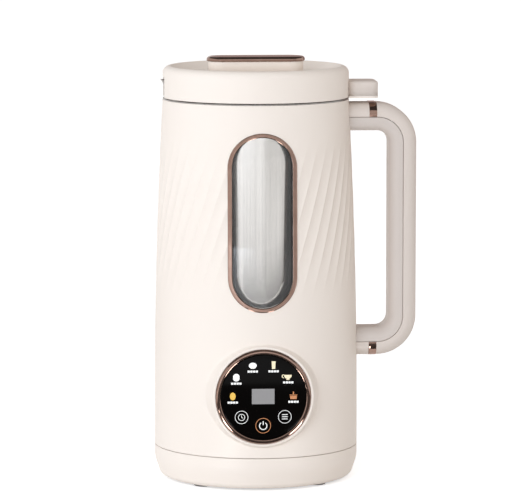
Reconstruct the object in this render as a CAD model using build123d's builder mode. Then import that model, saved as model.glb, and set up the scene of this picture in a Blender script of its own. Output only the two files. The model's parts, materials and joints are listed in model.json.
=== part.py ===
from build123d import *
import os
from math import cos, pi, radians, sin, sqrt

os.makedirs("parts", exist_ok=True)

# Countertop nut milk maker: a steel cup with a heater and a blade motor under it, in a tapered plastic body.
# Millimetres, Z up. The origin is on the cup's axis, on the surface that the feet stand on.
# The window and the touch panel face -Y, the handle is at +X and the pouring beak at -X.

# Clearances shared by all pieces
face_gap = 0.3
run_gap = 0.35
shaft_fit = 0.05
screw_fit = 0.05
press_gap = 0.1
overrun = 6.0

# Body heights, from the table up
foot_standoff = 1.2
base_height = 19.0
seam_gap = 0.3
shell_height = 208.8
rim_thickness = 0.8
lid_gap = 0.4
base_bottom_z = foot_standoff
base_top_z = base_bottom_z + base_height
shell_bottom_z = base_top_z + seam_gap
shell_top_z = shell_bottom_z + shell_height
rim_top_z = shell_top_z + rim_thickness
lid_bottom_z = rim_top_z + lid_gap

# Body plan: straight at the foot, then one long arc that leans in to the rim
body_radius = 61.3
body_lean = 5.3
taper_rise = 190.0
wall = 2.5
shell_top_radius = body_radius - body_lean
taper_start_z = shell_top_z - taper_rise
taper_arc = (taper_rise ** 2 + body_lean ** 2) / (2 * body_lean)

# Steel cup, hung in the body
air_gap = 2.7
cup_wall = 0.8
cup_corner = 8.0
motor_bay_height = 76.8
neck_height = 7.9
neck_bead = 0.7
cup_radius = shell_top_radius - wall - air_gap - cup_wall
cup_outer = cup_radius + cup_wall
cup_floor_z = base_top_z + motor_bay_height
cup_under_z = cup_floor_z - cup_wall
neck_top_z = rim_top_z + neck_height

# Pouring beak at -X
beak_overhang = 1.4
beak_rise = 3.5
beak_width = 14.8
beak_foot_radius = 7.0
beak_foot_gap = 0.2

# Slanted flutes round the shell
flute_count = 48
flute_rise = 13.0
flute_drop = 17.3
flute_low_z = cup_floor_z + flute_rise
flute_high_z = shell_top_z - flute_drop
flute_depth = 0.6
flute_phase = 6.6
flute_twist = 0.32
flute_depth_shares = (0.02, 0.3, 0.85, 1.0, 1.0, 1.0, 0.85, 0.3, 0.02)
plain_rows_below = 7
plain_rows_above = 2

# Window in the front
window_rise = 63.25
window_z = cup_floor_z + window_rise
window_width = 36.0
window_height = 100.7
window_trim_width = 2.55
window_trim_proud = 0.6
window_barrel = 0.9
lens_thickness = 2.0
lens_recess = 0.3
gasket_thickness = 1.0
gasket_land = 1.6

# Touch panel in a drafted boss
panel_drop = 0.9
panel_proud = 2.4
panel_z = base_top_z + motor_bay_height / 2 - panel_drop
panel_face = body_radius + panel_proud
glass_radius = 25.25
glass_thickness = 1.8
bezel_radius = 28.2
bezel_proud = 0.8
bezel_depth = 3.0
bezel_round = 1.0
boss_margin = 1.4
boss_depth = 12.0
boss_draft = 16.0
housing_wall = 1.5
housing_depth = 13.0
panel_board_thickness = 1.6
pad_radius = 2.4
pad_length = 6.0
display_width = 14.0
display_height = 9.4
display_depth = 5.6
display_drop = 1.0
key_circle = 19.5
key_angles = (205.0, 270.0, 335.0)
mode_angles = (15.0, 45.0, 75.0, 105.0, 135.0, 165.0)

# Handle: a D loop of one section, split into an outer and an inner half
handle_thickness = 16.8
handle_width = 24.0
handle_corner = 6.5
handle_wall = 2.4
handle_standoff = 35.3
handle_reach = body_radius + handle_standoff
handle_drop = 3.1
handle_height = 152.9
handle_top_z = rim_top_z - handle_drop
handle_bottom_z = handle_top_z - handle_height
handle_bend = 15.6
handle_split = 0.2
band_offset = 6.3
band_start = body_radius + band_offset
band_width = 4.7
band_depth = 0.8
band_proud = 0.25
lug_length = 14.0
lug_margin = 0.4

# Lid
lid_radius = shell_top_radius
lid_wall = 2.2
lid_height = 18.8
lid_round = 4.2
lid_ledge = 4.9
dish_depth = 5.0
dish_shoulder = 12.0
dish_floor_radius = lid_radius - dish_shoulder
dish_edge_round = 1.5
dish_floor_round = 4.0
lid_edge_round = 0.4
notch_half_width = 8.2
notch_height = 12.5
tab_overhang = 17.1
tab_reach = lid_radius + tab_overhang
tab_width = 24.0
tab_height = 10.1
tab_corner = 5.0
tab_round = 3.0
tab_wall = 1.8
tab_cover_thickness = 1.2
magnet_radius = 4.5
magnet_height = 4.0
magnet_offset = 9.5
magnet_x = lid_radius + magnet_offset
magnet_collar = 2.5
magnet_collar_wall = 1.2
liner_gap = 0.8
liner_drop = 8.5
liner_wall = 2.2
liner_floor = 2.0
liner_flange = 8.0
lid_post_circle = 30.0
lid_post_radius = 3.5
lid_post_height = 8.0
lid_screw_head = 2.6
lid_screw_head_height = 1.6
lid_screw_shank = 1.4
lid_screw_length = 16.0
seal_height = 2.6
seal_depth = 1.0
seal_seat = 3.4
slot_count = 7
slot_width = 1.6
slot_height = 8.0
slot_pitch = 3.0
vent_radius = 1.5
vent_circle = 40.0
vent_pitch = 9.0

# Lid grip
grip_length = 57.1
grip_width = 18.5
grip_height = 7.8
grip_wall = 2.4
trim_overhang = 1.1
trim_height = 3.4
trim_top_round = 1.5
trim_bottom_round = 0.7
grip_screw_spacing = 30.0

# Heater under the cup
heater_thickness = 5.0
heater_inset = 8.0
heater_radius = cup_radius - heater_inset
tube_radius = 3.3
tube_circle = 27.0
tube_sweep = 300.0
terminal_length = 5.0
terminal_radius = 1.6
probe_circle = 35.0
thermistor_radius = 4.0
thermistor_flange = 4.4
thermistor_angle = 135.0
cutout_angle = 330.0
thermistor_length = 7.0
cutout_radius = 7.2
cutout_height = 5.0
cutout_cap_radius = 5.4
cutout_cap_height = 2.6

# Shaft, seal and blades
shaft_radius = 4.0
shaft_flat = 5.6
thread_radius = 2.9
housing_flange = 16.0
housing_flange_thickness = 2.0
housing_barrel = 11.5
housing_bore = 7.5
housing_length = 10.5
nut_width = 31.0
nut_thickness = 4.5
seal_thickness = 6.0
bush_length = 3.8
sleeve_radius = 7.0
sleeve_length = 4.5
blade_thickness = 1.5
blade_hub = 7.5
blade_width = 9.0
blade_spacing = 3.0
lower_blade_reach = 26.0
lower_blade_bend = -10.0
upper_blade_reach = 21.0
upper_blade_bend = 32.0
blade_edge = 2.6
cap_nut_width = 12.0
cap_nut_height = 7.5

# Motor, hung from the heater plate on rubber
boss_height = 6.0
damper_height = 6.2
damper_circle = 37.0
damper_radius = 5.5
bracket_thickness = 3.0
bracket_hub = 14.0
bracket_core = 30.0
bracket_arm = 10.0
bearing_radius = 11.0
bearing_width = 7.0
bearing_race = 1.6
stator_side = 54.0
stator_corner = 8.0
bay_hardware = 50.8
stator_height = motor_bay_height - bay_hardware
stator_bore = 16.4
pole_half = 11.4
coil_width = 5.6
coil_depth = 6.0
coil_corner = 3.0
pole_tip = 1.8
tip_half = 9.0
tip_gap = 2.0
upper_post_length = 10.0
lower_post_length = 13.0
bracket_post_radius = 3.6
bearing_lip = 1.2
bush_radius = 8.0
bush_hub = 11.0
bush_height = 6.0
motor_screw_head = 3.6
motor_screw_head_height = 2.4
motor_screw_shank = 2.0
motor_screw_bite = 5.0
bolt_offset = 22.0
bolt_radius = 1.9
rotor_step = 1.0
rotor_height = stator_height - 2 * rotor_step
rotor_slots = 12
rotor_slot_width = 2.2
rotor_slot_depth = 5.0
winding_height = 5.0
winding_radius = 13.5
commutator_radius = 11.0
commutator_height = 7.6
commutator_rise = 0.8
commutator_bars = 12
commutator_slit = 0.6
brush_side = 5.0
brush_length = 14.0
brush_box_wall = 1.0
fan_radius = 28.0
fan_height = 9.0
fan_blades = 11
fan_blade_thickness = 1.5
fan_disc = 1.4
fan_hub = 7.0
fan_gap = 2.0
fan_blade_length = 17.0
fan_blade_lean = 28.0
shaft_tail = 1.5

# Support ring and base
ring_thickness = 3.7
ring_land = 7.0
ring_inner = cup_radius - ring_land
ring_post_hole = 16.0
post_inset = 13.3
post_circle = body_radius - post_inset
ring_post_radius = 4.5
base_knee_rise = 11.3
base_knee_round = 16.0
base_lean = 3.7
base_foot_round = 5.0
base_wall = 2.5
lip_height = 5.0
lip_wall = 1.8
lip_shelf = 3.0
base_boss_radius = 5.0
base_boss_recess = 8.0
duct_radius = 31.0
duct_wall = 1.6
duct_height = 7.0
vent_inner = 12.0
vent_outer = 25.0
vent_width = 2.6
vent_count = 10
exhaust_circle = 38.0
exhaust_length = 7.0
exhaust_count = 20
foot_radius = 5.6
foot_round = 0.6
foot_pocket = 1.5
base_screw_head = 3.2
base_screw_head_height = 2.4
base_screw_shank = 1.75
base_screw_length = 24.0

# Power inlet at the back
inlet_z = 38.0
inlet_sink = 0.9
inlet_seat = body_radius - inlet_sink
inlet_pad_width = 35.0
inlet_pad_height = 28.0
inlet_pad_corner = 4.0
inlet_corner = 2.0
inlet_flange_width = 31.0
inlet_flange_height = 24.0
inlet_flange_thickness = 2.0
inlet_body_width = 27.4
inlet_body_height = 20.0
inlet_depth = 20.0
inlet_cavity_width = 24.4
inlet_cavity_height = 16.6
inlet_cavity_depth = 16.0
pin_tail = 6.0
pin_width = 2.0
pin_height = 4.0
pin_length = 14.5
pin_pitch = 14.0
pin_drop = 2.0

# Boards and sensors
board_inset = 15.3
board_x = body_radius - board_inset
board_thickness = 1.6
board_width = 38.0
board_height = 46.0
board_rise = 6.8
board_low_z = base_top_z + board_rise
board_boss_radius = 3.2
board_boss_pitch_y = 26.0
board_boss_pitch_z = 36.0
board_peg_radius = 1.3
board_peg_length = 8.0
board_peg_rise = 1.2
relay_size = 12.0
relay_depth = 7.0
transformer_width = 16.0
transformer_height = 18.0
transformer_depth = 9.0
terminal_width = 20.0
terminal_height = 6.0
reed_length = 14.0
reed_width = 5.0
reed_height = 3.0
reed_x = magnet_x
overflow_drop = 18.0
overflow_reach = 7.0
overflow_radius = 1.6
grommet_radius = 4.2
grommet_neck = 2.6
grommet_flange = 1.0
handle_screw_pitch = 10.0
handle_screw_head = 3.2
handle_screw_head_height = 1.8
handle_screw_shank = 1.7
handle_screw_length = 9.0


def shell_radius(z):
    """Outer radius of the body at height z."""
    rise = max(0.0, z - taper_start_z)
    return body_radius - taper_arc + sqrt(taper_arc ** 2 - rise ** 2)


def body_form(inset, low_z, high_z):
    """Solid that follows the body's outer wall between two heights, moved in by inset."""
    with BuildPart(mode=Mode.PRIVATE) as form:
        with BuildSketch(Plane.XZ):
            with BuildLine():
                knee_z = min(max(low_z, taper_start_z), high_z)
                middle_z = (knee_z + high_z) / 2
                low = (shell_radius(low_z) - inset, low_z)
                knee = (shell_radius(knee_z) - inset, knee_z)
                middle = (shell_radius(middle_z) - inset, middle_z)
                high = (shell_radius(high_z) - inset, high_z)
                Polyline((0, high_z), (0, low_z), low)
                if knee_z > low_z:
                    Line(low, knee)
                if high_z > knee_z:
                    ThreePointArc(knee, middle, high)
                Line(high, (0, high_z))
            make_face()
        revolve(axis=Axis.Z)
    return form.part


def front_capsule(width, height, near, far):
    """Upright capsule prism in front of the axis, for the window's pieces."""
    with BuildPart(mode=Mode.PRIVATE) as prism:
        with BuildSketch(Plane.XZ.offset(near)):
            with Locations((0, window_z)):
                SlotOverall(height, width, rotation=90)
        extrude(amount=far - near)
    return prism.part


def front_disc(radius, near, far):
    """Disc in front of the axis at the touch panel's height."""
    with BuildPart(mode=Mode.PRIVATE) as disc:
        with BuildSketch(Plane.XZ.offset(near)):
            with Locations((0, panel_z)):
                Circle(radius)
        extrude(amount=far - near)
    return disc.part


def fluted_form():
    """Full-height body with concave helical flutes between crisp ridges, faded to nothing below and above."""
    last = len(flute_depth_shares) - 1
    band_rise = (flute_high_z - flute_low_z) / last
    below_rise = (flute_low_z - shell_bottom_z) / plain_rows_below
    above_rise = (shell_top_z - flute_high_z) / plain_rows_above
    middle_z = (flute_low_z + flute_high_z) / 2
    levels = [(shell_bottom_z + below_rise * row, flute_depth_shares[0]) for row in range(plain_rows_below)]
    levels += [(flute_low_z + band_rise * row, share) for row, share in enumerate(flute_depth_shares)]
    levels += [(flute_high_z + above_rise * (row + 1), flute_depth_shares[last]) for row in range(plain_rows_above)]
    with BuildPart(mode=Mode.PRIVATE) as form:
        for z, share in levels:
            turn = flute_phase - 90 + flute_twist * (min(max(z, flute_low_z), flute_high_z) - middle_z)
            ridge = shell_radius(z)
            valley = ridge - flute_depth * share
            with BuildSketch(Plane.XY.offset(z)):
                with BuildLine():
                    for flute in range(flute_count):
                        start = radians(turn + 360 * flute / flute_count)
                        half = start + pi / flute_count
                        end = start + 2 * pi / flute_count
                        ThreePointArc(
                            (ridge * cos(start), ridge * sin(start)),
                            (valley * cos(half), valley * sin(half)),
                            (ridge * cos(end), ridge * sin(end)),
                        )
                make_face()
        loft()
    return form.part


# Outer shell
board_middle_z = board_low_z + board_height / 2
window_prism_far = body_radius + overrun
window_hole_width = window_width + 2 * window_barrel + 2 * press_gap
window_hole_height = window_height + 2 * window_barrel + 2 * press_gap
housing_radius = glass_radius + housing_wall
boss_face_radius = bezel_radius + boss_margin
fluted_body = fluted_form()
cavity = body_form(wall, shell_bottom_z, shell_top_z)
window_hole = front_capsule(window_hole_width, window_hole_height, cup_outer, window_prism_far)
housing_hole = front_disc(housing_radius + press_gap, cup_radius - overrun, panel_face + overrun)
bezel_recess = front_disc(bezel_radius + press_gap, panel_face + bezel_proud - bezel_depth, panel_face + overrun)

with BuildPart() as outer_shell:
    add(fluted_body)
    with BuildSketch(Plane.XZ.offset(panel_face)):
        with Locations((0, panel_z)):
            Circle(boss_face_radius)
    extrude(amount=-boss_depth, taper=-boss_draft)
    with BuildSketch(Plane.XZ.offset(-inlet_seat)):
        with Locations((0, inlet_z)):
            RectangleRounded(inlet_pad_width, inlet_pad_height, inlet_pad_corner)
    extrude(amount=boss_depth)
    add(cavity, mode=Mode.SUBTRACT)
    with BuildSketch(Plane.YZ.offset(board_x + board_thickness)):
        with Locations((0, board_middle_z)):
            with GridLocations(board_boss_pitch_y, board_boss_pitch_z, 2, 2):
                Circle(board_boss_radius)
    extrude(amount=body_radius - wall - board_x - board_thickness)
    with BuildSketch(Plane.YZ.offset(board_x - board_peg_rise)):
        with Locations((0, board_middle_z)):
            with GridLocations(board_boss_pitch_y, board_boss_pitch_z, 2, 2):
                Circle(board_peg_radius)
    extrude(amount=board_peg_length)
    add(window_hole, mode=Mode.SUBTRACT)
    add(housing_hole, mode=Mode.SUBTRACT)
    add(bezel_recess, mode=Mode.SUBTRACT)
    with BuildSketch(Plane.XZ.offset(-inlet_seat)):
        with Locations((0, inlet_z)):
            RectangleRounded(inlet_flange_width + 2 * face_gap, inlet_flange_height + 2 * face_gap, inlet_corner)
    extrude(amount=-overrun, mode=Mode.SUBTRACT)
    with BuildSketch(Plane.XZ.offset(-inlet_seat - overrun)):
        with Locations((0, inlet_z)):
            RectangleRounded(inlet_body_width + 2 * press_gap, inlet_body_height + 2 * press_gap, inlet_corner)
    extrude(amount=inlet_depth + overrun, mode=Mode.SUBTRACT)
    for arm_z in (handle_top_z - handle_thickness / 2, handle_bottom_z + handle_thickness / 2):
        with BuildSketch(Plane.YZ.offset(cup_outer)):
            with Locations((-handle_screw_pitch / 2, arm_z), (handle_screw_pitch / 2, arm_z)):
                Circle(handle_screw_shank + press_gap)
        extrude(amount=body_radius, mode=Mode.SUBTRACT)
outer_shell.part.label = "outer_shell"
export_step(outer_shell.part, "parts/outer_shell.step")

# Window: trim frame, clear lens that follows the body, and the dark gasket behind it
window_low_z = window_z - window_height / 2 - overrun
window_high_z = window_z + window_height / 2 + overrun
barrel_width = window_width + 2 * window_barrel
barrel_height = window_height + 2 * window_barrel
trim_front = body_form(-window_trim_proud, window_low_z, window_high_z)
trim_seat = body_form(-shaft_fit, window_low_z, window_high_z)
lens_front = body_form(lens_recess, window_low_z, window_high_z)
lens_back = body_form(lens_recess + lens_thickness, window_low_z, window_high_z)
gasket_front = body_form(lens_recess + lens_thickness + press_gap, window_low_z, window_high_z)
gasket_back = body_form(lens_recess + lens_thickness + press_gap + gasket_thickness, window_low_z, window_high_z)
trim_outline = front_capsule(
    window_width + 2 * window_trim_width, window_height + 2 * window_trim_width, cup_outer, window_prism_far
)
barrel_outline = front_capsule(barrel_width, barrel_height, cup_outer, window_prism_far)
clear_outline = front_capsule(window_width, window_height, cup_outer, window_prism_far)
lens_outline = front_capsule(window_width - 2 * press_gap, window_height - 2 * press_gap, cup_outer, window_prism_far)
gasket_hole = front_capsule(
    window_width - 2 * gasket_land, window_height - 2 * gasket_land, cup_outer, window_prism_far
)

with BuildPart() as window_trim:
    add(trim_outline)
    add(trim_seat, mode=Mode.SUBTRACT)
    add(barrel_outline)
    add(trim_front, mode=Mode.INTERSECT)
    add(gasket_back, mode=Mode.SUBTRACT)
    add(clear_outline, mode=Mode.SUBTRACT)
window_trim.part.label = "window_trim"
export_step(window_trim.part, "parts/window_trim.step")

with BuildPart() as window_lens:
    add(lens_outline)
    add(lens_front, mode=Mode.INTERSECT)
    add(lens_back, mode=Mode.SUBTRACT)
window_lens.part.label = "window_lens"
export_step(window_lens.part, "parts/window_lens.step")

with BuildPart() as window_gasket:
    add(lens_outline)
    add(gasket_front, mode=Mode.INTERSECT)
    add(gasket_back, mode=Mode.SUBTRACT)
    add(gasket_hole, mode=Mode.SUBTRACT)
window_gasket.part.label = "window_gasket"
export_step(window_gasket.part, "parts/window_gasket.step")

# Steel cup with its pouring beak: a deep-drawn pot, a beaded neck and a flared beak that rises over the neck
beak_tip = shell_top_radius + beak_overhang
beak_radius = beak_width / 2
beak_low_z = rim_top_z + beak_foot_gap
beak_top_z = neck_top_z + beak_rise
beak_foot_x = cup_outer + beak_foot_gap - beak_foot_radius
beak_lip_x = beak_tip - beak_radius
lip_low_z = neck_top_z + neck_bead + beak_foot_gap
lip_rise = (beak_top_z - beak_foot_gap - lip_low_z) / (beak_tip - beak_foot_x)


def beak_cone(inset):
    """Leaning cone of the beak, from its foot on the neck up past its lip."""
    with BuildPart(mode=Mode.PRIVATE) as cone:
        with BuildSketch(Plane.XY.offset(beak_low_z)):
            with Locations((-beak_foot_x, 0)):
                Circle(beak_foot_radius - inset)
        with BuildSketch(Plane.XY.offset(beak_top_z)):
            with Locations((-beak_lip_x, 0)):
                Circle(beak_radius - inset)
        loft(ruled=True)
    return cone.part


beak_outside = beak_cone(0)
beak_inside = beak_cone(cup_wall)

with BuildPart() as inner_cup:
    with BuildSketch(Plane.XZ):
        with BuildLine():
            Polyline((0, cup_under_z), (0, neck_top_z), (cup_outer, neck_top_z), (cup_outer, cup_under_z), close=True)
        make_face()
        fillet(vertices().group_by(Axis.Y)[0].sort_by(Axis.X)[-1], radius=cup_corner + cup_wall)
        with Locations((cup_outer - neck_bead / 2, neck_top_z)):
            Circle(neck_bead)
    revolve(axis=Axis.Z)
    add(beak_outside)
    add(beak_inside, mode=Mode.SUBTRACT)
    with BuildSketch(Plane.XZ) as cup_hollow:
        with BuildLine():
            Polyline((0, cup_floor_z), (0, beak_top_z), (cup_radius, beak_top_z), (cup_radius, cup_floor_z), close=True)
        make_face()
        fillet(vertices().group_by(Axis.Y)[0].sort_by(Axis.X)[-1], radius=cup_corner)
    revolve(axis=Axis.Z, mode=Mode.SUBTRACT)
    with BuildSketch(Plane.XZ.offset(-beak_radius - overrun)):
        with BuildLine():
            Polyline(
                (-beak_foot_x, lip_low_z),
                (-beak_tip - overrun, lip_low_z + lip_rise * (beak_tip + overrun - beak_foot_x)),
                (-beak_tip - overrun, beak_top_z + overrun),
                (-beak_foot_x, beak_top_z + overrun),
                close=True,
            )
        make_face()
    extrude(amount=beak_width + 2 * overrun, mode=Mode.SUBTRACT)
    with BuildSketch(Plane.XY.offset(cup_floor_z - overrun)):
        Circle(housing_barrel + press_gap)
    extrude(amount=2 * overrun, mode=Mode.SUBTRACT)
    with BuildSketch(Plane.XZ.offset(-body_radius)):
        with Locations((0, rim_top_z - overflow_drop)):
            Circle(grommet_neck + screw_fit)
    extrude(amount=body_radius, mode=Mode.SUBTRACT)
inner_cup.part.label = "inner_cup"
export_step(inner_cup.part, "parts/inner_cup.step")

with BuildPart() as rim_ring:
    with BuildSketch(Plane.XY.offset(shell_top_z)):
        Circle(shell_top_radius)
        Circle(cup_outer + screw_fit, mode=Mode.SUBTRACT)
    extrude(amount=rim_thickness)
rim_ring.part.label = "rim_ring"
export_step(rim_ring.part, "parts/rim_ring.step")

# Overflow probe: a rod through the cup's back wall near the top, in a rubber gasket
probe_z = rim_top_z - overflow_drop
with BuildPart() as overflow_probe:
    with BuildSketch(Plane.XZ.offset(-cup_radius + overflow_reach)):
        with Locations((0, probe_z)):
            Circle(overflow_radius)
    extrude(amount=-(overflow_reach + cup_wall + 2 * grommet_flange))
    fillet(edges().group_by(Axis.Y)[0], radius=overflow_radius / 2)
overflow_probe.part.label = "overflow_probe"
export_step(overflow_probe.part, "parts/overflow_probe.step")

with BuildPart() as probe_gasket:
    with BuildSketch(Plane.XZ.offset(-cup_radius + grommet_flange)):
        with Locations((0, probe_z)):
            Circle(grommet_radius)
    extrude(amount=-(cup_wall + 2 * grommet_flange))
    with BuildSketch(Plane.XY.offset(probe_z - overrun)):
        Circle(cup_outer + press_gap)
        Circle(cup_radius - press_gap, mode=Mode.SUBTRACT)
    extrude(amount=2 * overrun, mode=Mode.SUBTRACT)
    with BuildSketch(Plane.XZ.offset(-cup_radius + grommet_flange)):
        with Locations((0, probe_z)):
            Circle(grommet_neck)
    extrude(amount=-(cup_wall + 2 * grommet_flange))
    with BuildSketch(Plane.XZ.offset(-cup_radius + overrun)):
        with Locations((0, probe_z)):
            Circle(overflow_radius + screw_fit)
    extrude(amount=-2 * overrun, mode=Mode.SUBTRACT)
probe_gasket.part.label = "probe_gasket"
export_step(probe_gasket.part, "parts/probe_gasket.step")

# Touch panel, from the front back: bezel, glass, pads and display on their board, all in a round housing
glass_front = panel_face + bezel_proud / 2
glass_back = glass_front - glass_thickness
board_front = glass_back - pad_length
housing_back = panel_face + bezel_proud - bezel_depth - housing_depth + housing_wall

with BuildPart() as panel_bezel:
    with BuildSketch(Plane.XZ.offset(panel_face + bezel_proud - bezel_depth)):
        with Locations((0, panel_z)):
            Circle(bezel_radius)
            Circle(glass_radius + press_gap, mode=Mode.SUBTRACT)
    extrude(amount=bezel_depth)
    fillet(edges().group_by(Axis.Y)[0].sort_by(SortBy.RADIUS)[-1], radius=bezel_round)
panel_bezel.part.label = "panel_bezel"
export_step(panel_bezel.part, "parts/panel_bezel.step")

with BuildPart() as panel_glass:
    with BuildSketch(Plane.XZ.offset(glass_back)):
        with Locations((0, panel_z)):
            Circle(glass_radius)
    extrude(amount=glass_thickness)
    fillet(edges().group_by(Axis.Y)[0], radius=bezel_proud / 2)
panel_glass.part.label = "panel_glass"
export_step(panel_glass.part, "parts/panel_glass.step")

with BuildPart() as panel_housing:
    with BuildSketch(Plane.XZ.offset(housing_back)):
        with Locations((0, panel_z)):
            Circle(housing_radius)
    extrude(amount=panel_face + bezel_proud - bezel_depth - face_gap - housing_back)
    with BuildSketch(Plane.XZ.offset(housing_back + housing_wall)):
        with Locations((0, panel_z)):
            Circle(glass_radius)
    extrude(amount=panel_face, mode=Mode.SUBTRACT)
panel_housing.part.label = "panel_housing"
export_step(panel_housing.part, "parts/panel_housing.step")

with BuildPart() as panel_board:
    with BuildSketch(Plane.XZ.offset(board_front - panel_board_thickness)):
        with Locations((0, panel_z)):
            Circle(glass_radius - face_gap)
    extrude(amount=panel_board_thickness)
    with BuildSketch(Plane.XZ.offset(housing_back + housing_wall)):
        with Locations((0, panel_z)):
            with PolarLocations(glass_radius - 2 * pad_radius, 3, start_angle=90):
                Circle(pad_radius)
    extrude(amount=board_front - panel_board_thickness - housing_back - housing_wall)
panel_board.part.label = "panel_board"
export_step(panel_board.part, "parts/panel_board.step")

with BuildPart() as touch_pads:
    with BuildSketch(Plane.XZ.offset(board_front)):
        with Locations((0, panel_z)):
            for angle in key_angles + mode_angles:
                with PolarLocations(key_circle, 1, start_angle=angle):
                    Circle(pad_radius)
    extrude(amount=pad_length)
touch_pads.part.label = "touch_pads"
export_step(touch_pads.part, "parts/touch_pads.step")

with BuildPart() as display_module:
    with BuildSketch(Plane.XZ.offset(board_front)):
        with Locations((0, panel_z - display_drop)):
            Rectangle(display_width, display_height)
    extrude(amount=display_depth)
display_module.part.label = "display_module"
export_step(display_module.part, "parts/display_module.step")

# Handle: channel sections swept round the D loop, with the seam on the loop's middle line
handle_middle_x = handle_reach - handle_thickness / 2
upper_arm_z = handle_top_z - handle_thickness / 2
lower_arm_z = handle_bottom_z + handle_thickness / 2
handle_start_x = cup_outer
reed_z = handle_top_z - handle_wall - reed_height - lug_margin
arm_end = body_form(-handle_split, shell_bottom_z, shell_top_z)
section_plane = Plane(origin=(handle_start_x, 0, upper_arm_z), x_dir=(0, 1, 0), z_dir=(1, 0, 0))
half_thickness = handle_thickness / 2

with BuildLine(Plane.XZ) as handle_loop:
    FilletPolyline(
        (handle_start_x, upper_arm_z),
        (handle_middle_x, upper_arm_z),
        (handle_middle_x, lower_arm_z),
        (handle_start_x, lower_arm_z),
        radius=handle_bend,
    )
handle_path = handle_loop.wire()


inside_width = handle_width - 2 * handle_wall
inside_thickness = handle_thickness - 2 * handle_wall
inside_corner = handle_corner - handle_wall


def half_channel(side):
    """Channel section of one handle half: side is 1 for the outer half and -1 for the inner."""
    with BuildSketch(mode=Mode.PRIVATE) as section:
        RectangleRounded(handle_width, handle_thickness, handle_corner)
        RectangleRounded(inside_width, inside_thickness, inside_corner, mode=Mode.SUBTRACT)
        with Locations((0, side * (handle_split / 2 - half_thickness))):
            Rectangle(handle_width + overrun, handle_thickness, mode=Mode.SUBTRACT)
    return section.sketch


def band_section(inset, proud):
    """Section of the bright band that wraps the outer half of an arm."""
    with BuildSketch(mode=Mode.PRIVATE) as section:
        RectangleRounded(handle_width + 2 * proud, handle_thickness + 2 * proud, handle_corner + proud)
        RectangleRounded(
            handle_width - 2 * inset, handle_thickness - 2 * inset, handle_corner - inset, mode=Mode.SUBTRACT
        )
        with Locations((0, handle_split / 2 - half_thickness - overrun)):
            Rectangle(handle_width + 4 * overrun, handle_thickness + 2 * overrun, mode=Mode.SUBTRACT)
    return section.sketch


def arm_plane(x, upper):
    """Plane across an arm at distance x from the axis, with its second axis away from the loop's inside."""
    if upper:
        return Plane(origin=(x, 0, upper_arm_z), x_dir=(0, 1, 0), z_dir=(1, 0, 0))
    return Plane(origin=(x, 0, lower_arm_z), x_dir=(0, -1, 0), z_dir=(1, 0, 0))


with BuildPart() as handle_outer:
    with BuildSketch(section_plane):
        add(half_channel(1))
    sweep(path=handle_path)
    add(arm_end, mode=Mode.SUBTRACT)
    for upper in (True, False):
        with BuildSketch(arm_plane(band_start - press_gap, upper)):
            add(band_section(band_depth + press_gap, overrun))
        extrude(amount=band_width + 2 * press_gap, mode=Mode.SUBTRACT)
handle_outer.part.label = "handle_outer"
export_step(handle_outer.part, "parts/handle_outer.step")

with BuildPart() as handle_inner:
    with BuildSketch(section_plane):
        add(half_channel(-1))
    sweep(path=handle_path)
    for upper in (True, False):
        lug_end = shell_radius(upper_arm_z if upper else lower_arm_z) + lug_length
        with BuildSketch(arm_plane(handle_start_x, upper)):
            RectangleRounded(inside_width + handle_wall, inside_thickness + handle_wall, inside_corner)
            with Locations((0, half_thickness - handle_split / 2)):
                Rectangle(handle_width, handle_thickness, mode=Mode.SUBTRACT)
            RectangleRounded(inside_width - 2 * lug_margin, inside_thickness - 2 * lug_margin, inside_corner)
        extrude(amount=lug_end - handle_start_x)
    add(arm_end, mode=Mode.SUBTRACT)
    for upper in (True, False):
        with BuildSketch(arm_plane(handle_start_x, upper)):
            with Locations((-handle_screw_pitch / 2, 0), (handle_screw_pitch / 2, 0)):
                Circle(handle_screw_shank + screw_fit)
        arm_root = shell_radius(upper_arm_z if upper else lower_arm_z)
        extrude(amount=arm_root + handle_screw_length - handle_start_x, mode=Mode.SUBTRACT)
    with BuildSketch(Plane.XY.offset(reed_z)):
        with Locations((reed_x, 0)):
            Rectangle(reed_length + 2 * press_gap, reed_width + 2 * press_gap)
    extrude(amount=overrun, mode=Mode.SUBTRACT)
handle_inner.part.label = "handle_inner"
export_step(handle_inner.part, "parts/handle_inner.step")

with BuildPart() as handle_bands:
    for upper in (True, False):
        with BuildSketch(arm_plane(band_start, upper)):
            add(band_section(band_depth, band_proud))
        extrude(amount=band_width)
handle_bands.part.label = "handle_bands"
export_step(handle_bands.part, "parts/handle_bands.step")

with BuildPart() as handle_screws:
    for upper in (True, False):
        inner_radius = shell_radius(upper_arm_z if upper else lower_arm_z) - wall
        seat_x = sqrt(inner_radius ** 2 - (handle_screw_pitch / 2 + handle_screw_head) ** 2) - press_gap
        with BuildSketch(arm_plane(seat_x - handle_screw_head_height, upper)):
            with Locations((-handle_screw_pitch / 2, 0), (handle_screw_pitch / 2, 0)):
                Circle(handle_screw_head)
        extrude(amount=handle_screw_head_height)
        with BuildSketch(arm_plane(seat_x, upper)):
            with Locations((-handle_screw_pitch / 2, 0), (handle_screw_pitch / 2, 0)):
                Circle(handle_screw_shank)
        extrude(amount=handle_screw_length)
handle_screws.part.label = "handle_screws"
export_step(handle_screws.part, "parts/handle_screws.step")

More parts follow.
